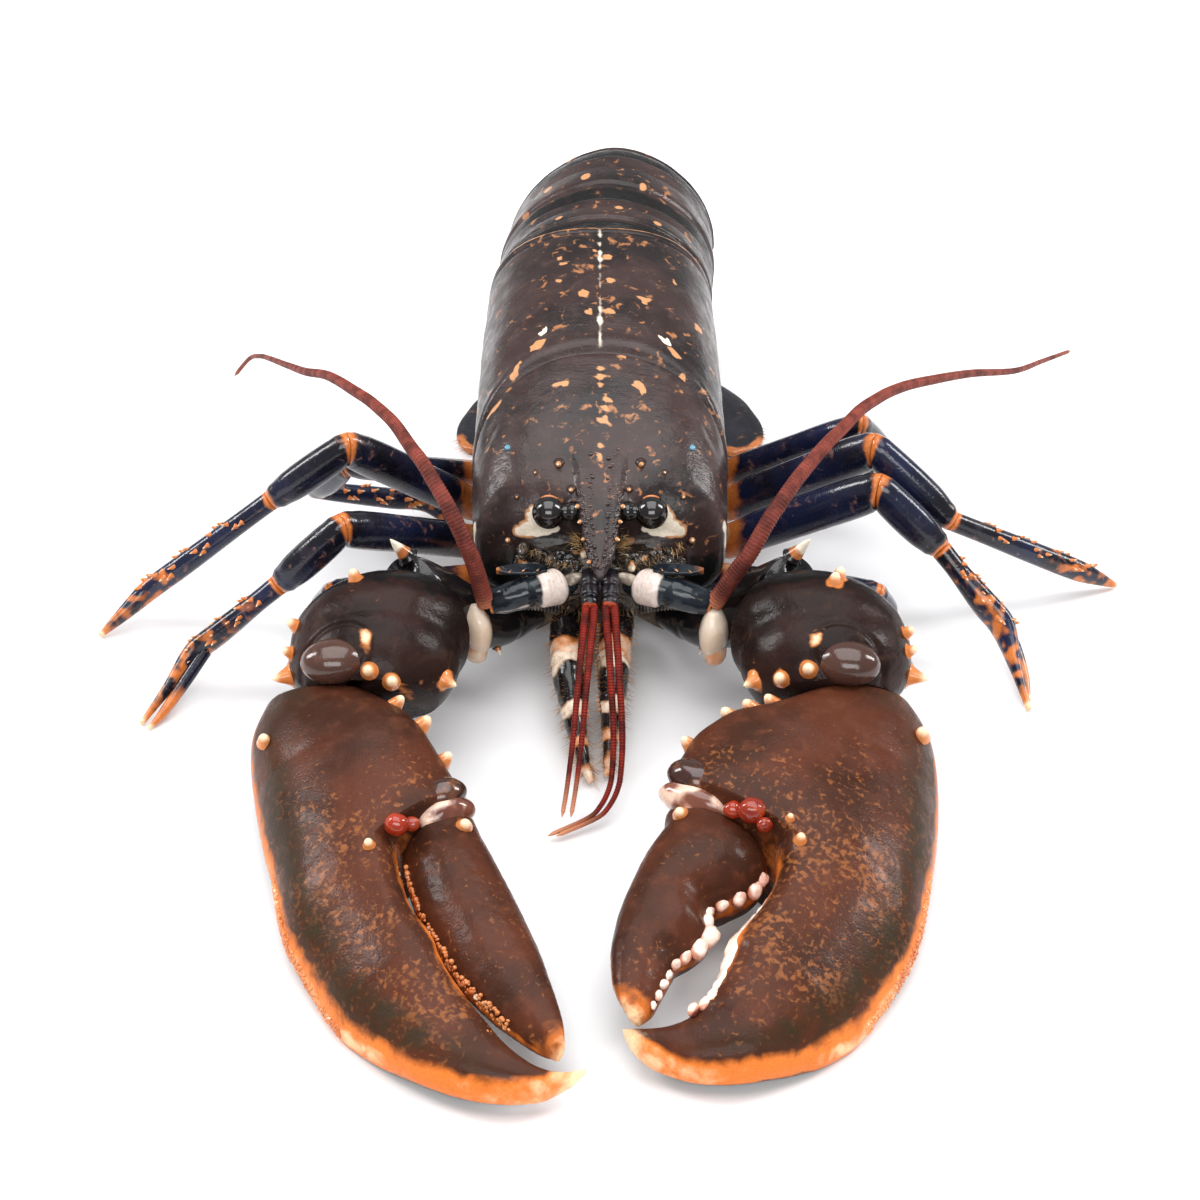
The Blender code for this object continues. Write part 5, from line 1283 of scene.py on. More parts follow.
leg_hair_spots = []
leg_bristles = random.Random(17)
for side_name, side in SIDES.items():
    for number, row in enumerate(LEGS[side_name]):
        joints = [Vector((LEG_ROOT_X, row[0], LEG_ROOT_Z))] + [Vector(j) for j in row[1:]]
        root, ischium, knee, ankle, foot, tip = [mirrored(p, side) for p in joints]
        size = LEG_THICKNESS[number]
        reference = (knee - root).cross(ankle - knee).normalized()
        at_knee = mitre(ischium, knee, ankle)
        at_ankle = mitre(knee, ankle, foot)
        name = ("first", "second", "third", "fourth")[number] + "_" + side_name
        path = [root, ischium] + [ischium.lerp(knee, t) for t in (0.25, 0.55)]
        path += [knee_side(knee, ischium, ankle, 5.0 * size), knee]
        radii = [(4.3, 4.3), (4.5, 3.9), (4.9, 3.9), (5.1, 3.9), (5.0, 4.0), (4.0, 3.4)]
        clay = new_clay()
        add_leg_piece(clay, path, [(a * size, b * size) for a, b in radii], reference,
                      (ischium - root).normalized(), at_knee, (0.0, 1.0))
        for i, (orange, cream, dark) in enumerate(clay["paint"]):
            x = abs(clay["points"][i].x)
            clay["paint"][i] = (max(orange, 0.9 * bell(x - 31.5, 3.0)),
                                max(cream, 0.45 * bell(x - 30.5, 1.6)), dark)
        cast("leg_thigh_" + name, clay, [leg_shell], [f"leg_{name}_thigh"])

        clay = new_clay()
        path = [knee, knee_side(knee, ankle, ischium, 4.5 * size), knee.lerp(ankle, 0.7), ankle]
        radii = [(4.0, 3.4), (4.5, 3.8), (4.4, 3.8), (3.0, 2.8)]
        add_leg_piece(clay, path, [(a * size, b * size) for a, b in radii], reference, at_knee, at_ankle)
        cast("leg_shin_" + name, clay, [leg_shell], [f"leg_{name}_shin"])

        pincer = number < PINCER_LEGS
        wide = 1.15 if pincer else 0.95
        path = [ankle, ankle.lerp(foot, 0.25), ankle.lerp(foot, 0.7), foot, foot.lerp(tip, 0.5), tip]
        radii = [(2.6 * size, 2.5 * size), (2.6, 2.4), (3.1 * wide, 2.6), (3.1 * wide, 2.4), (2.1, 1.6),
                 (0.7, 0.6)]
        if pincer:
            radii[4] = (1.7, 1.3)
        rings = smooth_rings(tube_rings(path, radii, reference, LEG_SIDES, at_ankle), LEG_STEP)
        count = len(rings) - 1
        tip_share = (tip - foot).length / ((tip - foot).length + (foot - ankle).length)

        def foot_paint(point, i, k, count=count, tip_share=tip_share):
            left = (1 - i / count) / tip_share
            mottle = clamp(0.55 + 1.7 * noise.noise(point * 0.45)) * clamp((2.2 - left) / 0.8)
            return (max(bell(i, 1.8), 0.85 * clamp((0.34 - left) / 0.2), 0.62 * mottle),
                    0.8 * clamp((0.14 - left) / 0.12), 0.0)

        clay = new_clay()
        add_rings(clay, rings, foot_paint)
        along = (foot - ankle).normalized()
        up = along.cross(reference).normalized()
        up = -up if up.z < 0 else up
        if pincer:
            step = reference * 2.9
            finger = [foot - along * 3 + step * 0.5, foot.lerp(tip, 0.3) + step,
                      foot.lerp(tip, 0.7) + step * 1.1, tip + step * 0.8 - along]
            claw_rings = smooth_rings(tube_rings(finger, [(1.6, 1.6), (1.5, 1.5), (1.1, 1.1), (0.4, 0.4)],
                                                 reference, 24), 0.5)
            length = len(claw_rings)
            add_rings(clay, claw_rings, lambda p, i, k: (0.75 * clamp((i / length - 0.35) / 0.3),
                                                         0.9 * clamp((i / length - 0.88) / 0.1), 0.0))
        for k in range(20):
            share = 0.22 + 0.044 * k
            around = 0.9 * sin(5.3 * k + number)
            where = ankle.lerp(foot, share) + up * 2.5 * cos(around) + reference * 2.2 * sin(around)
            way = up * cos(around) + reference * sin(around) + along * 0.8
            add_thorn(clay, where, way, 0.5 + 0.15 * share, 1.5 + 0.7 * share, knob_tip, sides=9)
        for k in range(70 if number else 40):
            share = leg_bristles.uniform(0.55, 1.35)
            spot = ankle.lerp(foot, share) if share < 1 else foot.lerp(tip, (share - 1) * 1.6)
            around = leg_bristles.uniform(0, 2 * pi)
            out = up * cos(around) + reference * sin(around)
            leg_hair_spots.append((spot + out * (2.2 if share < 1 else 2.1 - 2.6 * (share - 1)),
                                   out + along * 0.9))
        cast("leg_foot_" + name, clay, [leg_shell], [f"leg_{name}_foot"])
sow("leg_hair", leg_hair_spots, hairs, golden_hair, "leg", Length=0.0012, Thickness=0.00005, Lean=0.3,
    Seed=14)

# The claw arms are thick glossy black tubes with a cream-tipped spine above. At their inner front side
# by the elbow a cream-white knuckle bulges out between the plates.
ARM_ROOT = Vector((17.5, -17.0, 9.8))
ARM_JOINT = Vector((24.5, -26.5, 14.0))
ELBOW = Vector((44.0, -37.0, 27.2))
ELBOW_FACING = Vector((0.62, -0.74, 0.25)).normalized()
WRIST = {"l": Vector((55.0, -64.0, 20.0)), "r": Vector((58.0, -64.0, 20.0))}
ARM_SPINES = [((44.2, -32.4, 36.6), (0.6, -0.05, 0.85), 2.3, 7.0),
              ((27, -37, 10), (-0.2, -0.7, -0.6), 1.3, 2.6), ((24, -33, 8), (-0.4, -0.7, -0.4), 1.1, 2.4)]
ARM_KNUCKLE = {"l": (26.4, -38.4, 20.5), "r": (28.6, -37.4, 20.5)}
arm_shell = shell_finish("arm_shell", (24, 21, 23), (12, 11, 14), (44, 36, 35), (110, 80, 62),
                         (186, 110, 58), (240, 226, 204), (10, 10, 12), flecks=0.1, roughness=0.2,
                         pits=0.25, coat=0.6)
knuckle_shell = shell_finish("knuckle_shell", (236, 222, 204), (214, 186, 160), (248, 240, 228),
                             (226, 196, 168), (206, 132, 84), SHELL_CREAM, (60, 40, 34), flecks=0.1,
                             roughness=0.22, pits=0.1, coat=0.6)


def cream_tip(t):
    return (0.8 * clamp((t - 0.12) * 6), clamp((t - 0.3) * 2.6), 0.0)


for name, side in SIDES.items():
    root, joint, elbow = [mirrored(p, side) for p in (ARM_ROOT, ARM_JOINT, ELBOW)]
    path = [root, joint, joint.lerp(elbow, 0.35), joint.lerp(elbow, 0.8), elbow]
    radii = [(3.8, 5.4), (5.8, 6.2), (7.4, 7.0), (10.6, 9.2), (12.4, 10.0)]
    reference = (joint - root).cross(Vector((0, 0, 1))).normalized()
    rings = smooth_rings(tube_rings(path, radii, reference, 120, (joint - root).normalized(),
                                    mirrored(ELBOW_FACING, side)), 0.4)
    count = len(rings) - 1
    for i, ring in enumerate(rings):
        middle = sum(ring, Vector()) / len(ring)
        rings[i] = [middle + (p - middle) * (1 - 0.05 * bell(i - 22, 2.5) - 0.05 * bell(count - i, 2.0))
                    for p in ring]
    clay = new_clay()
    add_rings(clay, rings, lambda p, i, k: (0.3 * bell(i - 22, 1.4), 0.0, 0.0))
    skin = list(clay["points"])
    for p, d, r, n in ARM_SPINES:
        add_thorn(clay, nearest(skin, mirrored(p, side)), mirrored(d, side), r * 0.9, n, cream_tip,
                  sides=20, steps=16, flare=0.3)
    piece = cast("claw_arm_" + name, clay, [arm_shell], ["arm_" + name])
    relief(piece, ripple((0.14, 0.25)))
    clay = new_clay()
    turn = turned(side * -20) @ turned(-8, "X")
    add_ball(clay, mirrored(ARM_KNUCKLE[name], side), (3.3, 4.6, 6.6), turn, 40, 30,
             lambda p, i, k: (0.6 * clamp((i - 22) / 5), 0.0, 0.0))
    add_ball(clay, mirrored(Vector(ARM_KNUCKLE[name]) + Vector((0.4, -1.2, -5.2)), side), (2.6, 3.4, 3.2),
             turn, 30, 20, even_paint(0.5, 0.0, 0.0))
    piece = cast("claw_knuckle_" + name, clay, [knuckle_shell], [])
    relief(piece, ripple((0.4, 0.22), (0.1, 0.9)))

# The wrist is a short swollen knob of shell, black and polished behind, with orange-tipped spines, a row
# of blunt orange knobs, an oval brown boss on top that a painted sheen lightens, and a rim where the claw
# is hinged.
CARPUS = (Vector((50.0, -48.0, 25.5)), (21.5, 15.0, 17.0))
CARPUS_TURN = -16.0
CARPUS_PAD = (Vector((51.5, -54.5, 25.2)), (19.8, 16.8, 15.4))
BOSS = {"l": Vector((55.6, -65.2, 33.0)), "r": Vector((59.8, -64.6, 33.0))}
BOSS_RADII = (7.6, 5.6, 5.0)
BOSS_TURN = {"l": -14.0, "r": -8.0}
WRIST_KNOBS = {"l": [(54.5, -44.8, 41.2, 1.6), (53.0, -47.6, 40.4, 1.6), (69.6, -52.5, 31.6, 1.5),
                     (68.5, -56.5, 29.0, 1.4), (46.4, -69.0, 34.0, 1.9), (39.4, -69.5, 31.5, 1.9)],
               "r": [(55.5, -44.8, 41.2, 1.6), (70.6, -50.5, 32.6, 1.5), (69.5, -56.5, 29.0, 1.4),
                     (51.8, -70.0, 34.4, 1.9), (46.4, -71.0, 31.5, 1.9)]}
WRIST_SPINES = [((71.2, -58, 23), (1.0, -0.5, 0.1), 2.3, 5.0), ((37, -62, 26), (-0.8, -0.7, 0.1), 1.9, 3.6)]
# The wrist's end faces forward and a little down.
WRIST_LEAN = 0.5
WRIST_FACING = Vector((0, -1, -WRIST_LEAN)).normalized()
wrist_shell = shell_finish("wrist_shell", (46, 29, 25), (26, 17, 15), (66, 44, 37), (136, 88, 58),
                           (210, 128, 66), (246, 218, 182), (15, 12, 13), flecks=0.2, fleck_scale=360.0,
                           roughness=0.3, pits=0.3, coat=0.04, gloss=0.1)
# The boss is brown, but its tones are lighter than that brown: a painted highlight, the broad sheen of the
# light from above.
boss_brown_and_painted_sheen = shell_finish("boss_brown_and_painted_sheen", (84, 55, 46), (66, 43, 36), (106, 74, 60), (140, 96, 70),
                          (214, 140, 84), (244, 206, 164), (20, 14, 13), flecks=0.05, roughness=0.16,
                          pits=0.15, coat=0.6)
knob_shell = shell_finish("knob_shell", (206, 122, 62), (180, 96, 48), (226, 150, 92), (228, 160, 104),
                          (214, 132, 72), (252, 222, 184), (70, 40, 30), flecks=0.1, roughness=0.22,
                          pits=0.1, coat=0.5, soft=0.4)



for name, side in SIDES.items():
    clay = new_clay()
    add_ball(clay, mirrored(CARPUS[0], side), CARPUS[1], turned(side * CARPUS_TURN), 64, 40)
    add_ball(clay, mirrored(CARPUS_PAD[0], side), CARPUS_PAD[1], None, 40, 26)
    rough = bpy.data.meshes.new("wrist_rough")
    rough.from_pydata([placed(p) for p in clay["points"]], [], clay["faces"])
    face_outwards(rough)
    blank = shown("wrist_blank", rough)
    remesh = blank.modifiers.new("Fuse", "REMESH")
    remesh.mode = "VOXEL"
    remesh.voxel_size = 0.0005
    smooth = blank.modifiers.new("Smooth", "SMOOTH")
    smooth.iterations = 60
    smooth.factor = 0.5
    fused = baked(blank)
    facing = mirrored(ELBOW_FACING, side)
    face_outwards(fused, ((mirrored(WRIST[name], side) - WRIST_FACING * GAP / 2, WRIST_FACING),
                          (mirrored(ELBOW, side) + facing * GAP / 2, -facing)))
    boss = mirrored(BOSS[name], side)
    boss_turn = turned(side * BOSS_TURN[name])
    skin = [unplaced(vert.co) for vert in fused.vertices]
    feet = [nearest(skin, mirrored((x, y, z), side)) for x, y, z, r in WRIST_KNOBS[name]]
    spine_feet = [nearest(skin, mirrored(p, side)) for p, d, r, n in WRIST_SPINES]
    paints = []
    for p in skin:
        orange = max(clamp(1.5 - (p - foot).length / 1.9) for foot in feet)
        orange = max(orange, max(clamp(1.3 - (p - foot).length / 3.0) for foot in spine_feet))
        inner_end = boss_turn.transposed() @ (p - boss)
        patch = bell(hypot((inner_end.x * side + 7.4) / 1.6, (inner_end.y - 0.5) / 2.6), 1.0)
        if p.z > 30:
            orange = max(orange, 0.75 * patch)
        paints += [orange, 0.5 * patch if p.z > 30 else 0.0, 0.85 * clamp((p.y + 52) / 8), 1.0]
    paint = fused.attributes.new("paint", "FLOAT_COLOR", "POINT")
    paint.data.foreach_set("color", paints)
    piece = present("claw_wrist_" + name, fused, [wrist_shell], ["wrist_" + name])

    def wrist_height(p):
        seat = boss_turn.transposed() @ (p - boss)
        ring = hypot(seat.x / BOSS_RADII[0], seat.y / BOSS_RADII[1])
        groove = 0.45 * bell(ring - 1.06, 0.1) if p.z > 26 else 0.0
        return 0.16 * noise.noise(p * 0.2) + 0.04 * noise.noise(p * 1.1) - groove

    relief(piece, wrist_height)
    clay = new_clay()
    add_ball(clay, boss, BOSS_RADII, boss_turn, 60, 40,
             lambda p, i, k: (0.75 * clamp((-(p - boss).x * side - 5.6) / 1.4), 0.0, 0.0))
    cast("claw_boss_" + name, clay, [boss_brown_and_painted_sheen], [])
    clay = new_clay()
    for (x, y, z, r), foot in zip(WRIST_KNOBS[name], feet):
        up = ((foot - mirrored(CARPUS[0], side)).normalized() + Vector((0, -0.15, 0.7))).normalized()
        add_thorn(clay, foot, up, r, r * 2.0, knob_tip, 24, 18, 0.8, 0.15)
    for (p, d, r, n), foot in zip(WRIST_SPINES, spine_feet):
        add_thorn(clay, foot, mirrored(d, side), r, n, knob_tip, 24, 18, 0.2, 0.4)
    cast("claw_wrist_knobs_" + name, clay, [knob_shell], [])

# The claws differ: the left one is the heavy crusher with big rounded teeth, the right one the slim
# cutter with fine ones. Both are chestnut and green-black with a knobbly orange-cream outer rim, pale
# orange tips that bend inwards, and a movable finger on a red hinge knob.
CLAW_TURN = {"l": 27.5, "r": 27.0}
# Each row of a tip is an inner and an outer (length, across) place, half a thickness and a middle height.
CLAWS = {
    "l": {
        "outer": [(0, 13.5), (10, 23), (20, 29.9), (37, 38.1), (59, 42.8), (76, 41.8), (88, 38.5),
                  (96, 33.4)],
        "inner": [(0, -8), (10, -13), (16, -16.5), (25, -20.2), (33, -22), (43, -22), (48.4, -20.4)],
        "gape": [(52.2, 7.6), (58, 10.6), (64, 11.6), (77, 12), (86, 12.4), (92, 12.2), (96, 11)],
        "thick": [(0, 9.5), (10, 12.8), (25, 15.2), (43, 15.4), (58, 13), (75, 10.8), (90, 8.4), (96, 7.4)],
        "middle": [(0, 20), (10, 18.6), (25, 16.8), (43, 15.2), (58, 12.8), (75, 10.6), (90, 9), (96, 8.4)],
        "tip": [((99.4, 9.0), (101.6, 28.4), 6.4, 7.9), ((101.8, 6.4), (106, 21.6), 5.3, 7.4),
                ((103.4, 3.6), (108.6, 14.4), 4.3, 7.1), ((104.3, 1.0), (109.2, 8), 3.2, 7.0),
                ((104.6, -0.8), (107.8, 2.2), 1.9, 7.1), ((104.5, -2.2), (105.2, -1.5), 0.45, 7.3)],
        "finger_outer": [(52.8, 6.2), (56, 7.8), (60, 8), (66, 5), (71.5, 1.6), (75, 2.8), (79, 5), (83, 4),
                         (88, 1.8), (94, 2.2), (101, 3), (104.5, 1.8)],
        "finger_inner": [(52.8, -18.5), (57, -17), (64, -17.2), (76, -16), (90, -12.4), (98, -8.4), (102, -5),
                         (104.5, -1.8)],
        "finger_thick": [(52.8, 9.5), (60, 10), (76, 8.6), (90, 6.2), (98, 4.4), (104.5, 1.8)],
        "finger_middle": [(52.8, 16.5), (76, 14.5), (104.5, 12.6)],
        "tilt": 6.5,
        "teeth": [(65, 1.3), (68.4, 1.5), (71.6, 2.0), (75.4, 2.6), (79.6, 3.2), (84, 2.6),
                  (87.4, 2.0), (90.4, 1.6), (93, 1.5), (95.6, 1.2), (98, 1.0)],
        "finger_teeth": [(58, 1.5), (61.4, 1.7), (64.8, 1.6), (68.2, 1.4), (71.4, 1.3), (74.6, 1.8),
                         (78, 2.4), (81.6, 2.0), (85, 1.4), (88, 1.2), (91, 1.1), (94, 1.1), (97, 1.0),
                         (100, 0.8)],
        "knobs": [(13, -13.0, 29.4, 1.7), (17.5, -16.0, 28.6, 1.9), (22, -18.6, 27.2, 1.9),
                  (34, -20.4, 24, 1.7), (50.5, 10.0, 29, 1.0), (54.2, 14.1, 29, 1.4), (4.6, 21.3, 22, 1.9)],
        "finger_knobs": [(55.7, -14.0, 26, 1.7)],
        "hinge": [(51.2, 1.6, 29.6, 2.9), (51.8, -2.6, 28.2, 2.0), (53.0, 5.4, 28.0, 1.7)],
        "condyle": (50.2, -12.8, 24.2, (3.6, 8.4, 4.2)), "lobe": (46.0, -14.6, 27.0, (4.2, 6.6, 4.0)),
    },
    "r": {
        "outer": [(0, 15.5), (9, 23), (20, 28), (33, 32.6), (58, 38.2), (76, 37.8), (90, 34.8), (100, 30.4)],
        "inner": [(0, -6), (6, -8), (12, -9.5), (27, -9.8), (38, -9.8), (43, -10.2), (46, -9.8)],
        "gape": [(49.2, 9.2), (58, 12), (70, 13.8), (84, 14), (94, 12.8), (100, 11.4)],
        "thick": [(0, 9.5), (10, 12.4), (25, 14.4), (43, 14), (58, 12), (75, 10), (90, 8.2), (100, 7)],
        "middle": [(0, 20), (10, 18.4), (25, 16), (43, 13.8), (58, 11.8), (75, 9.8), (90, 8.6), (100, 8.2)],
        "tip": [((105, 10.4), (107.4, 25.2), 6.0, 7.8), ((109.4, 8.8), (112.8, 19.6), 4.9, 7.3),
                ((112.8, 6.8), (116.6, 13.2), 3.8, 6.9), ((115.1, 4.0), (118.6, 7.4), 2.6, 6.7),
                ((116.1, 0.8), (118.4, 2.4), 1.6, 6.7), ((116.2, -2.7), (117.0, -2.1), 0.45, 7.0)],
        "finger_outer": [(49.8, 8.4), (58, 10.6), (70, 12.2), (84, 12.4), (98, 10.2), (106, 7.6), (111, 5.2),
                         (114.4, 3.0)],
        "finger_inner": [(49.8, -9.4), (56, -8.6), (66, -8), (84, -6.2), (101, -3.2), (108, -1.4),
                         (114.4, 1.2)],
        "finger_thick": [(49.8, 8.6), (60, 9), (76, 8), (92, 6.2), (104, 4.2), (111, 2.6), (114.4, 1.2)],
        "finger_middle": [(49.8, 16), (76, 14), (114.4, 12)],
        "tilt": 6.0,
        "teeth": [], "finger_teeth": [],
        "knobs": [(13.5, -7.4, 28.6, 1.7), (22.4, -9.4, 27.0, 1.9), (32.6, -9.8, 24, 1.8),
                  (52.0, 17.4, 27, 1.3), (7, 21.5, 21.5, 1.7)],
        "finger_knobs": [(54.2, -4.4, 24, 1.7)],
        "hinge": [(49.8, 9.4, 27.6, 2.5), (50.4, 6.0, 26.6, 1.7)],
        "condyle": (48.0, -3.2, 22.8, (3.4, 6.8, 4.0)), "lobe": (44.2, -4.4, 25.4, (3.8, 5.2, 3.8)),
    },
}
CLAW_SIDES = 200
TILT_END = 106.0
FINGER_TILT = 1.5
PALM_STEPS = 170
FINGER_STEPS = 130
TIP_STEPS = 12
TIP_REACH = 12.0
RIM_STEPS = 520
GAPE_STEPS = 210
# Heights of the five rows of grains beside the gape, in tenths of the palm's half thickness.
GAPE_ROWS = (1.2, 3.6, 5.2, 6.4, 7.2)
RIM_ANGLES = (0.02, 0.13, -0.1)
# How wide the orange rim is along a claw: (share of the length, mm).
RIM_WIDTH = [(0.1, 0.1), (0.2, 0.4), (0.5, 0.9), (0.66, 1.2), (0.8, 1.3), (0.88, 1.0), (0.94, 1.9),
             (0.97, 5.5), (1.0, 16.0)]
claw_shell = shell_finish("claw_shell", (84, 44, 29), (57, 32, 22), (104, 57, 37), (142, 86, 48),
                          (230, 124, 50), (255, 226, 180), (48, 38, 24), flecks=1.2, fleck_scale=760.0,
                          roughness=0.34, pits=0.4, coat=0.06, soft=0.42, gloss=0.1)
tooth_shell = shell_finish("tooth_shell", (226, 170, 142), (198, 122, 94), (244, 214, 190),
                           (190, 96, 70), (216, 110, 66), (252, 238, 224), (92, 30, 30), flecks=0.1,
                           roughness=0.2, pits=0.15, coat=0.6, soft=0.35)
hinge_shell = shell_finish("hinge_shell", (172, 52, 22), (126, 34, 18), (214, 96, 44), (222, 130, 70),
                           (208, 118, 54), SHELL_CREAM, (60, 20, 16), flecks=0.1, roughness=0.14, pits=0.1,
                           coat=0.7)
condyle_shell = shell_finish("condyle_shell", (128, 76, 58), (90, 48, 38), (170, 120, 98), (190, 140, 110),
                             (208, 128, 72), (236, 200, 178), (48, 28, 24), flecks=0.2, roughness=0.14,
                             pits=0.05, coat=0.8, soft=0.4)


def claw_frame(name):
    """The claw's length direction and the direction out to its outer edge."""
    side = SIDES[name]
    turn = radians(CLAW_TURN[name])
    return (Vector((-side * sin(turn), -cos(turn), 0)), Vector((side * cos(turn), -sin(turn), 0)))


def claw_point(name, a, b, z):
    """A point given by its distance from the wrist, its place across and its height."""
    along, out = claw_frame(name)
    wrist = mirrored(WRIST[name], SIDES[name])
    return Vector((wrist.x, wrist.y, 0)) + along * a + out * b + Vector((0, 0, z))


def edge_place(inner, outer, c):
    """The place across a claw of a point of its oval section; c is the cosine of the point's angle."""
    return (outer + inner) / 2 + (outer - inner) / 2 * power(c, 0.85)


def finger_ring(name, a, inner, outer, thick, middle):
    """An oval section of a claw's finger, which hangs a little at its outer edge."""
    return [claw_point(name, a, edge_place(inner, outer, cos(angle)), middle - FINGER_TILT * cos(angle)
                       + thick * sin(angle)) for angle in circle(CLAW_SIDES)]


def palm_section(claw, a):
    """The inner edge of the palm at a place, and the edge that its upper face is shaped for."""
    start, end = claw["inner"][-1][0], claw["gape"][0][0]
    gape = value_at(claw["gape"], a)
    if a <= start:
        inner = value_at(claw["inner"], a)
        return inner, inner
    shaped = claw["inner"][-1][1] + (gape - claw["inner"][-1][1]) * clamp((a - start) / 34) ** 0.8
    if a < end:
        return claw["inner"][-1][1] + (gape - claw["inner"][-1][1]) * (a - start) / (end - start), shaped
    return gape, shaped


def palm_tilt(claw, a):
    """How far the outer edge of the palm hangs: fully from a little past the wrist, less towards the tip."""
    return claw["tilt"] * min(a / 20, 1, (TILT_END - a) / 25)


def palm_ring(name, claw, a):
    """A section of the palm; it leaves the wrist square to it, and its face runs on past the hinge."""
    turn = radians(CLAW_TURN[name])
    inner, shaped = palm_section(claw, a)
    outer, thick, middle = [value_at(claw[key], a) for key in ("outer", "thick", "middle")]
    square = max(1 - a / 40, 0) ** 1.5
    tilt = palm_tilt(claw, a)
    shift = a + (GAP / 2 / cos(turn) if a == 0 else 0.0)
    apart = (inner - shaped) / max(outer - shaped, 1)
    ring = []
    for angle in circle(CLAW_SIDES):
        c, s = cos(angle), sin(angle)
        b = edge_place(inner, outer, c)
        across = (2 * b - outer - shaped) / (outer - shaped)
        swell = sqrt(max(1 - abs(across) ** 2.353, 0))
        edge = sqrt(max(1 - max(1 - (b - inner) / 6.5, 0) ** 2, 0))
        blend = clamp(apart * 4)
        swell *= edge * blend + 1 - blend
        z = middle - tilt * across + thick * swell * (1 if s >= 0 else -1)
        lean = -tan(turn) * b + WRIST_LEAN / cos(turn) * (z - WRIST[name].z)
        ring.append(claw_point(name, shift + square * lean, b, z))
    return ring


def tip_rings(name, claw):
    """The sections of the bent tip, from the last straight one to the point."""
    last = claw["gape"][-1][0]
    tilt = claw["tilt"] * (TILT_END - last) / 25
    rows = [(last, claw["gape"][-1][1], last, claw["outer"][-1][1], claw["thick"][-1][1],
             claw["middle"][-1][1], tilt)]
    rows += [(*inner, *outer, thick, middle, 1.2 * min(thick / 3, 1))
             for inner, outer, thick, middle in claw["tip"]]
    rings = []
    for step in range(1, (len(rows) - 1) * TIP_STEPS + 1):
        t = step / TIP_STEPS
        ia, ib, oa, ob, thick, middle, tilt = [value_at([(n, row[i]) for n, row in enumerate(rows)], t)
                                               for i in range(7)]
        ring = []
        for angle in circle(CLAW_SIDES):
            c, s = cos(angle), sin(angle)
            share = (1 + power(c, 0.85)) / 2
            ring.append(claw_point(name, ia + (oa - ia) * share, ib + (ob - ib) * share,
                                   middle - tilt * c + thick * s))
        rings.append(ring)
    return rings


def tooth_paint(rise):
    """A tooth is cream at its crown and dark at its root; rise is its height over its middle."""
    return (0.0, 0.62 * clamp(rise), clamp(0.55 - rise))


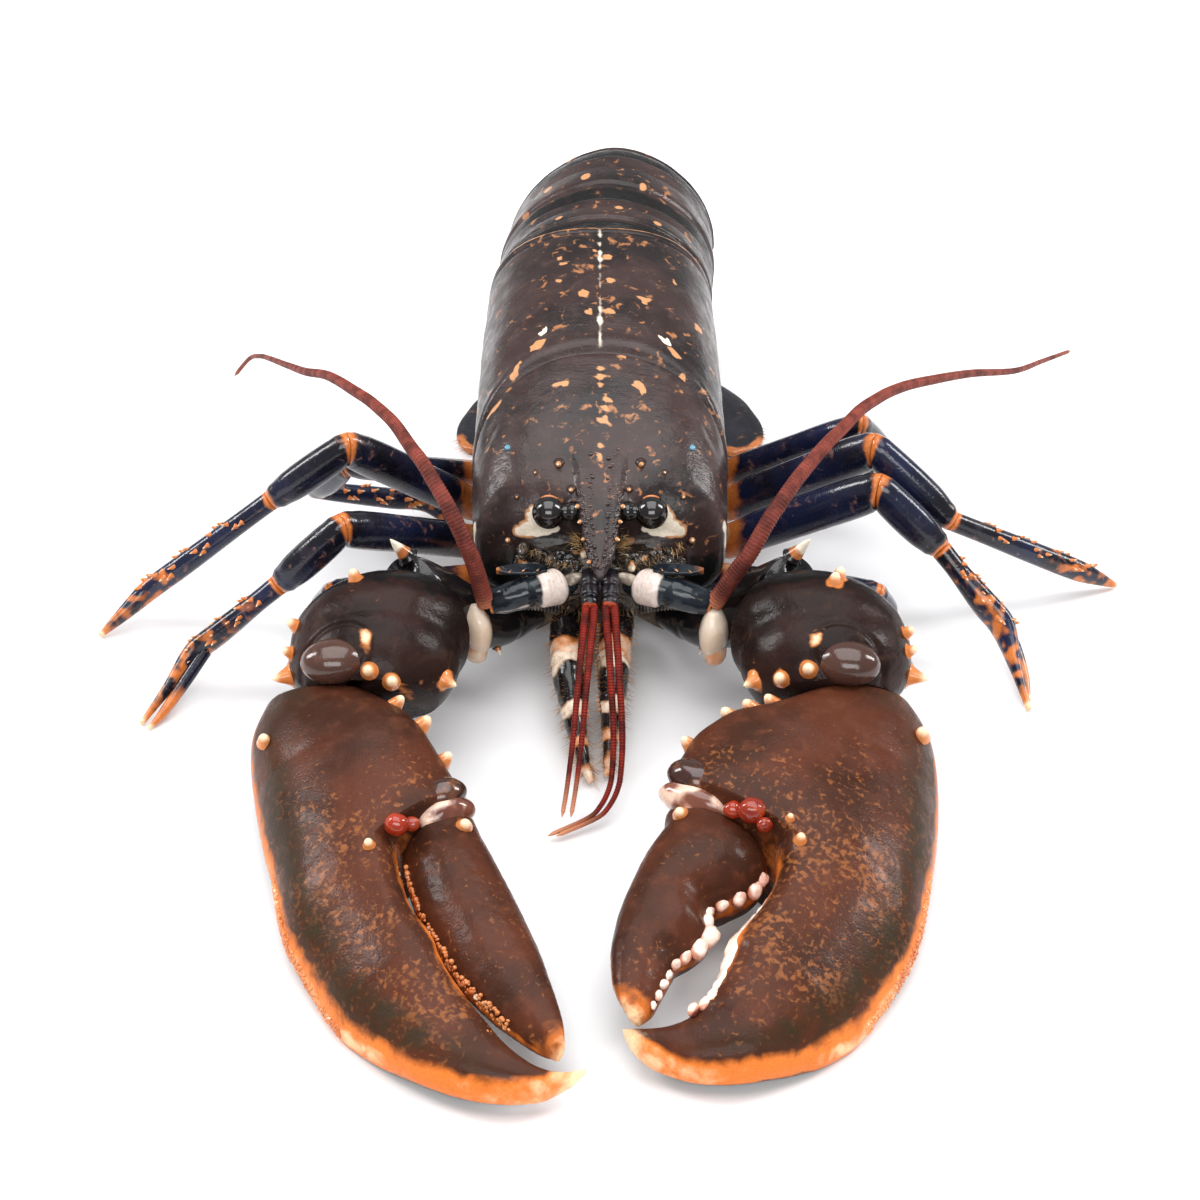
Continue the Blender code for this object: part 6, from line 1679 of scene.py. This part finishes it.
rim_spots = []
gape_spots = []
rim_dice = random.Random(41)
for name, claw in CLAWS.items():
    side = SIDES[name]
    along, out = claw_frame(name)
    clay = new_clay()
    last = claw["gape"][-1][0]
    rings = [palm_ring(name, claw, last * i / PALM_STEPS) for i in range(PALM_STEPS + 1)]
    bent = tip_rings(name, claw)
    rings += bent

    def palm_paint(point, i, k):
        a = last * i / PALM_STEPS if i <= PALM_STEPS else last + TIP_REACH * (i - PALM_STEPS) / len(bent)
        share = a / (last + TIP_REACH)
        c, s = cos(2 * pi * k / CLAW_SIDES), sin(2 * pi * k / CLAW_SIDES)
        half = (rings[i][0] - rings[i][CLAW_SIDES // 2]).length / 2
        inward = half * (1 - power(c, 0.85))
        width = value_at(RIM_WIDTH, share) * (1 + 0.3 * noise.noise(point * 0.2))
        orange = clamp(0.5 + (width - inward) / (1.2 + 0.5 * width))
        cream = 0.45 * bell(inward, 0.3 + 0.05 * width) * clamp((share - 0.2) / 0.3)
        cream *= clamp((0.86 - share) / 0.06)
        cream = max(cream, clamp((share - 0.955) / 0.04),
                    0.35 * clamp((share - 0.9) / 0.05) * clamp(2 * orange - 1))
        from_gape = half * (1 + power(c, 0.85))
        after = clamp((a - claw["gape"][0][0] + 1) / 2) * clamp((0.9 - share) / 0.1)
        orange = max(orange, (0.85 if name == "r" else 0.75) * bell(from_gape, 1.6) * after)
        dark = 0.66 * bell(inward - width - 3.5, 4.5) * clamp((share - 0.03) / 0.15)
        dark *= clamp((0.97 - share) / 0.1)
        dark = max(dark, 0.6 * clamp(-s * 2 - 0.2), 0.5 * clamp((14 - a) / 10) * clamp(c * 2))
        density = clamp(0.15 + (a - 12) / 45 + 0.3 * c) * clamp((0.95 - share) / 0.08)
        return (orange, cream, dark, density)

    add_rings(clay, rings, palm_paint)
    skin = [p for p in clay["points"] if p.z > 12]

    piece = cast("claw_palm_" + name, clay, [claw_shell], ["claw_" + name])
    relief(piece, ripple((0.3, 0.06), (0.05, 0.3), (0.02, 1.2)))
    knobs = new_clay()
    for a, b, z, radius in claw["knobs"]:
        foot = nearest(skin, claw_point(name, a, b, z))
        up = (Vector((0, 0, 1)) + along * 0.25 - out * (0.75 if b < 0 else -0.2)).normalized()
        add_thorn(knobs, foot, up, radius, radius * 1.9, knob_tip, 24, 16, 0.8, 0.15)

    clay = new_clay()
    start, end = claw["finger_outer"][0][0], claw["finger_outer"][-1][0]
    finger_stops = [start + (end - start) * (i / FINGER_STEPS) for i in range(FINGER_STEPS - 1)]
    finger_stops += [end - 0.5, end - 0.2, end]
    rings = [finger_ring(name, a, *(value_at(claw["finger_" + key], a)
                                    for key in ("inner", "outer", "thick", "middle"))) for a in finger_stops]

    def finger_paint(point, i, k):
        share = i / len(finger_stops)
        c, s = cos(2 * pi * k / CLAW_SIDES), sin(2 * pi * k / CLAW_SIDES)
        tip = clamp((share - 0.87) / 0.16)
        outside = bell(c + 1, 0.05) * clamp((share - 0.35) / 0.4)
        orange = max(0.95 * tip, 0.5 * bell(c - 1, 0.03), 0.6 * outside)
        return (orange, 0.7 * clamp((share - 0.94) / 0.06), 0.5 * clamp(-s * 2), 0.35 + 0.3 * share)

    add_rings(clay, rings, finger_paint)
    skin = [p for p in clay["points"] if p.z > 14]
    for a, b, z, radius in claw["finger_knobs"]:
        foot = nearest(skin, claw_point(name, a, b, z))
        add_thorn(knobs, foot, Vector((0, 0, 1)) + along * 0.5, radius, radius * 1.6, knob_tip, 24, 16, 0.8,
                  0.15)
    piece = cast("claw_finger_shell_" + name, clay, [claw_shell], ["claw_finger_" + name])
    relief(piece, ripple((0.2, 0.12), (0.06, 0.7)))
    cast("claw_knobs_" + name, knobs, [knob_shell], [])

    if claw["teeth"]:
        clay = new_clay()
        for group, edge, height, way in (("teeth", "gape", "middle", 1),
                                         ("finger_teeth", "finger_outer", "finger_middle", -1)):
            for a, radius in claw[group]:
                edge_b = value_at(claw[edge], a)
                if a >= last and way > 0:
                    edge_b = value_at(claw[edge], last) - (a - last) * 0.7
                b = edge_b + (1.4 if way > 0 else -0.45)
                radius *= 1.25 if way > 0 else 1.0
                centre = claw_point(name, a, b, value_at(claw[height], a) + (5.6 if way > 0 else 0.2))
                turn = Matrix.Rotation(atan2(along.y, along.x) + rim_dice.uniform(-0.3, 0.3), 3, "Z")
                add_ball(clay, centre, (radius * 1.4, radius * 0.95, radius * 1.1), turn, 34, 24,
                         lambda p, i, k: tooth_paint(((centre - p).dot(out) * way + p.z - centre.z) / radius))
        piece = cast("claw_teeth_" + name, clay, [tooth_shell], [])
        relief(piece, ripple((0.35, 0.45), (0.18, 1.3)))
    clay = new_clay()
    for a, b, z, radius in claw["hinge"]:
        add_ball(clay, claw_point(name, a, b, z - radius * 0.35), (radius * 1.1, radius, radius), None, 34,
                 24)
    piece = cast("claw_hinge_" + name, clay, [hinge_shell], [])
    relief(piece, ripple((0.25, 0.5)))
    clay = new_clay()
    across = Matrix.Rotation(atan2(along.y, along.x), 3, "Z")
    a, b, z, radii = claw["condyle"]
    add_ball(clay, claw_point(name, a, b, z), radii, across, 48, 30,
             lambda p, i, k: (0.0, 0.85 * clamp(noise.noise(p * 0.25) * 2.5 + 0.15), 0.0))
    a, b, z, radii = claw["lobe"]
    add_ball(clay, claw_point(name, a, b, z), radii, across, 40, 26, even_paint(0.15, 0.0, 0.9))
    piece = cast("claw_condyle_" + name, clay, [condyle_shell], [])
    relief(piece, ripple((0.3, 0.3)))

    reach = last + TIP_REACH
    for step in range(RIM_STEPS):
        a = reach * (0.12 + 0.6 * step / RIM_STEPS)
        for row, angle in enumerate(RIM_ANGLES):
            if rim_dice.random() < 0.2 + 0.15 * row:
                continue
            angle += rim_dice.gauss(0, 0.035)
            c, s = cos(angle), sin(angle)
            inner, shaped = palm_section(claw, a)
            outer = value_at(claw["outer"], a)
            b = edge_place(inner, outer, c)
            tilt = palm_tilt(claw, a)
            z = value_at(claw["middle"], a) - tilt + value_at(claw["thick"], a) * s * 0.9
            point = claw_point(name, a + rim_dice.uniform(-0.2, 0.2), b, z)
            rim_spots.append((point, out + along * 0.25 + Vector((0, 0, 0.9 * s + 0.15))))
    if not claw["teeth"]:
        for step in range(GAPE_STEPS):
            a = claw["gape"][0][0] + 4 + 50 * step / GAPE_STEPS
            for row in range(len(GAPE_ROWS)):
                if rim_dice.random() < 0.25:
                    continue
                b = value_at(claw["gape"], a) + 0.1 + 0.55 * row + rim_dice.uniform(-0.25, 0.25)
                z = value_at(claw["middle"], a) + GAPE_ROWS[row] * value_at(claw["thick"], a) / 10
                gape_spots.append((claw_point(name, a, b, z), Vector((0, 0, 1)) - out * (1.2 - 0.25 * row)))
            b = value_at(claw["finger_outer"], a) - 0.3
            z = value_at(claw["finger_middle"], a) + rim_dice.uniform(-1.5, 2)
            gape_spots.append((claw_point(name, a, b, z), out + Vector((0, 0, 0.6))))
grain_shell = shell_finish("grain_shell", (228, 152, 92), (196, 108, 54), (246, 204, 156), (250, 228, 196),
                           SHELL_ORANGE, SHELL_CREAM, (60, 34, 26), flecks=0.7, fleck_scale=500.0,
                           roughness=0.28, pits=0.1, coat=0.4)
sow("claw_rim_grains", rim_spots, grains, grain_shell, "claw", Radius=0.00033, Tallness=1.2, Variation=0.45,
    Seed=6)
sow("claw_gape_grains", gape_spots, grains, grain_shell, "claw", Radius=0.00046, Tallness=1.1,
    Variation=0.4, Seed=9)

# Under the shield the chest plate shows only from below and behind: hard pale plates with leg roots.
# Its solid already has the shape, so it stays as it is, with the finish of the belly's skin.
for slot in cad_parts["thorax"].material_slots:
    slot.material = belly_skin

# The lobster rests on a plain pale floor under soft light from above, from the front and from both
# sides, and the camera looks down at its claws and face.
FLOOR = 6.0
FLOOR_LEVEL = -0.0002
floor_paint, floor_tree, floor_shader, floor_place = new_finish("floor_paint")
floor_tone = mixed(floor_tree, cloud(floor_tree, floor_place, 3.0), srgb(238, 238, 240), srgb(242, 242, 243))
wire(floor_tree, floor_shader, {"Base Color": floor_tone, "Roughness": 0.6})
floor_mesh = bpy.data.meshes.new("floor")
floor_corners = [(FLOOR * x, FLOOR * y, FLOOR_LEVEL) for x, y in ((-1, -1), (1, -1), (1, 1), (-1, 1))]
floor_mesh.from_pydata(floor_corners, [], [(0, 1, 2, 3)])
floor_mesh.materials.append(floor_paint)
floor_obj = shown("floor", floor_mesh)

world = bpy.data.worlds.new("room")
bpy.context.scene.world = world
world.use_nodes = True
wire(world.node_tree, world.node_tree.nodes["Background"], {"Color": (1.0, 1.0, 1.0, 1.0), "Strength": 0.38})
bpy.context.scene.view_settings.view_transform = "Standard"


def soft_box(name, place, aim, width, depth, watts):
    """A rectangular soft light at a place, turned to a point."""
    data = bpy.data.lights.new(name, "AREA")
    data.shape = "RECTANGLE"
    data.size = width
    data.size_y = depth
    data.energy = watts
    lamp = shown(name, data)
    lamp.location = place
    lamp.rotation_euler = (Vector(aim) - Vector(place)).to_track_quat("-Z", "Y").to_euler()


soft_box("top_light", (0.0, 0.12, 1.5), (0.0, 0.0, 0.0), 1.5, 1.6, 24.5)
soft_box("front_light", (0.0, -1.1, 0.85), (0.0, 0.0, 0.02), 1.0, 0.5, 9.0)
soft_box("left_light", (-1.15, 0.35, 0.8), (0.0, 0.0, 0.02), 0.3, 0.7, 11.0)
soft_box("right_light", (1.15, 0.35, 0.8), (0.0, 0.0, 0.02), 0.3, 0.7, 11.0)

CAMERA_PLACE = Vector((-0.003, -0.6571, 0.5295))
CAMERA_AIM = Vector((-0.003, 0.0206, 0.0))
camera = shown("view", bpy.data.cameras.new("view"))
camera.data.lens = 105.27
camera.data.sensor_width = 36.0
camera.location = CAMERA_PLACE
camera.rotation_euler = (CAMERA_AIM - CAMERA_PLACE).to_track_quat("-Z", "Y").to_euler()
bpy.context.scene.camera = camera
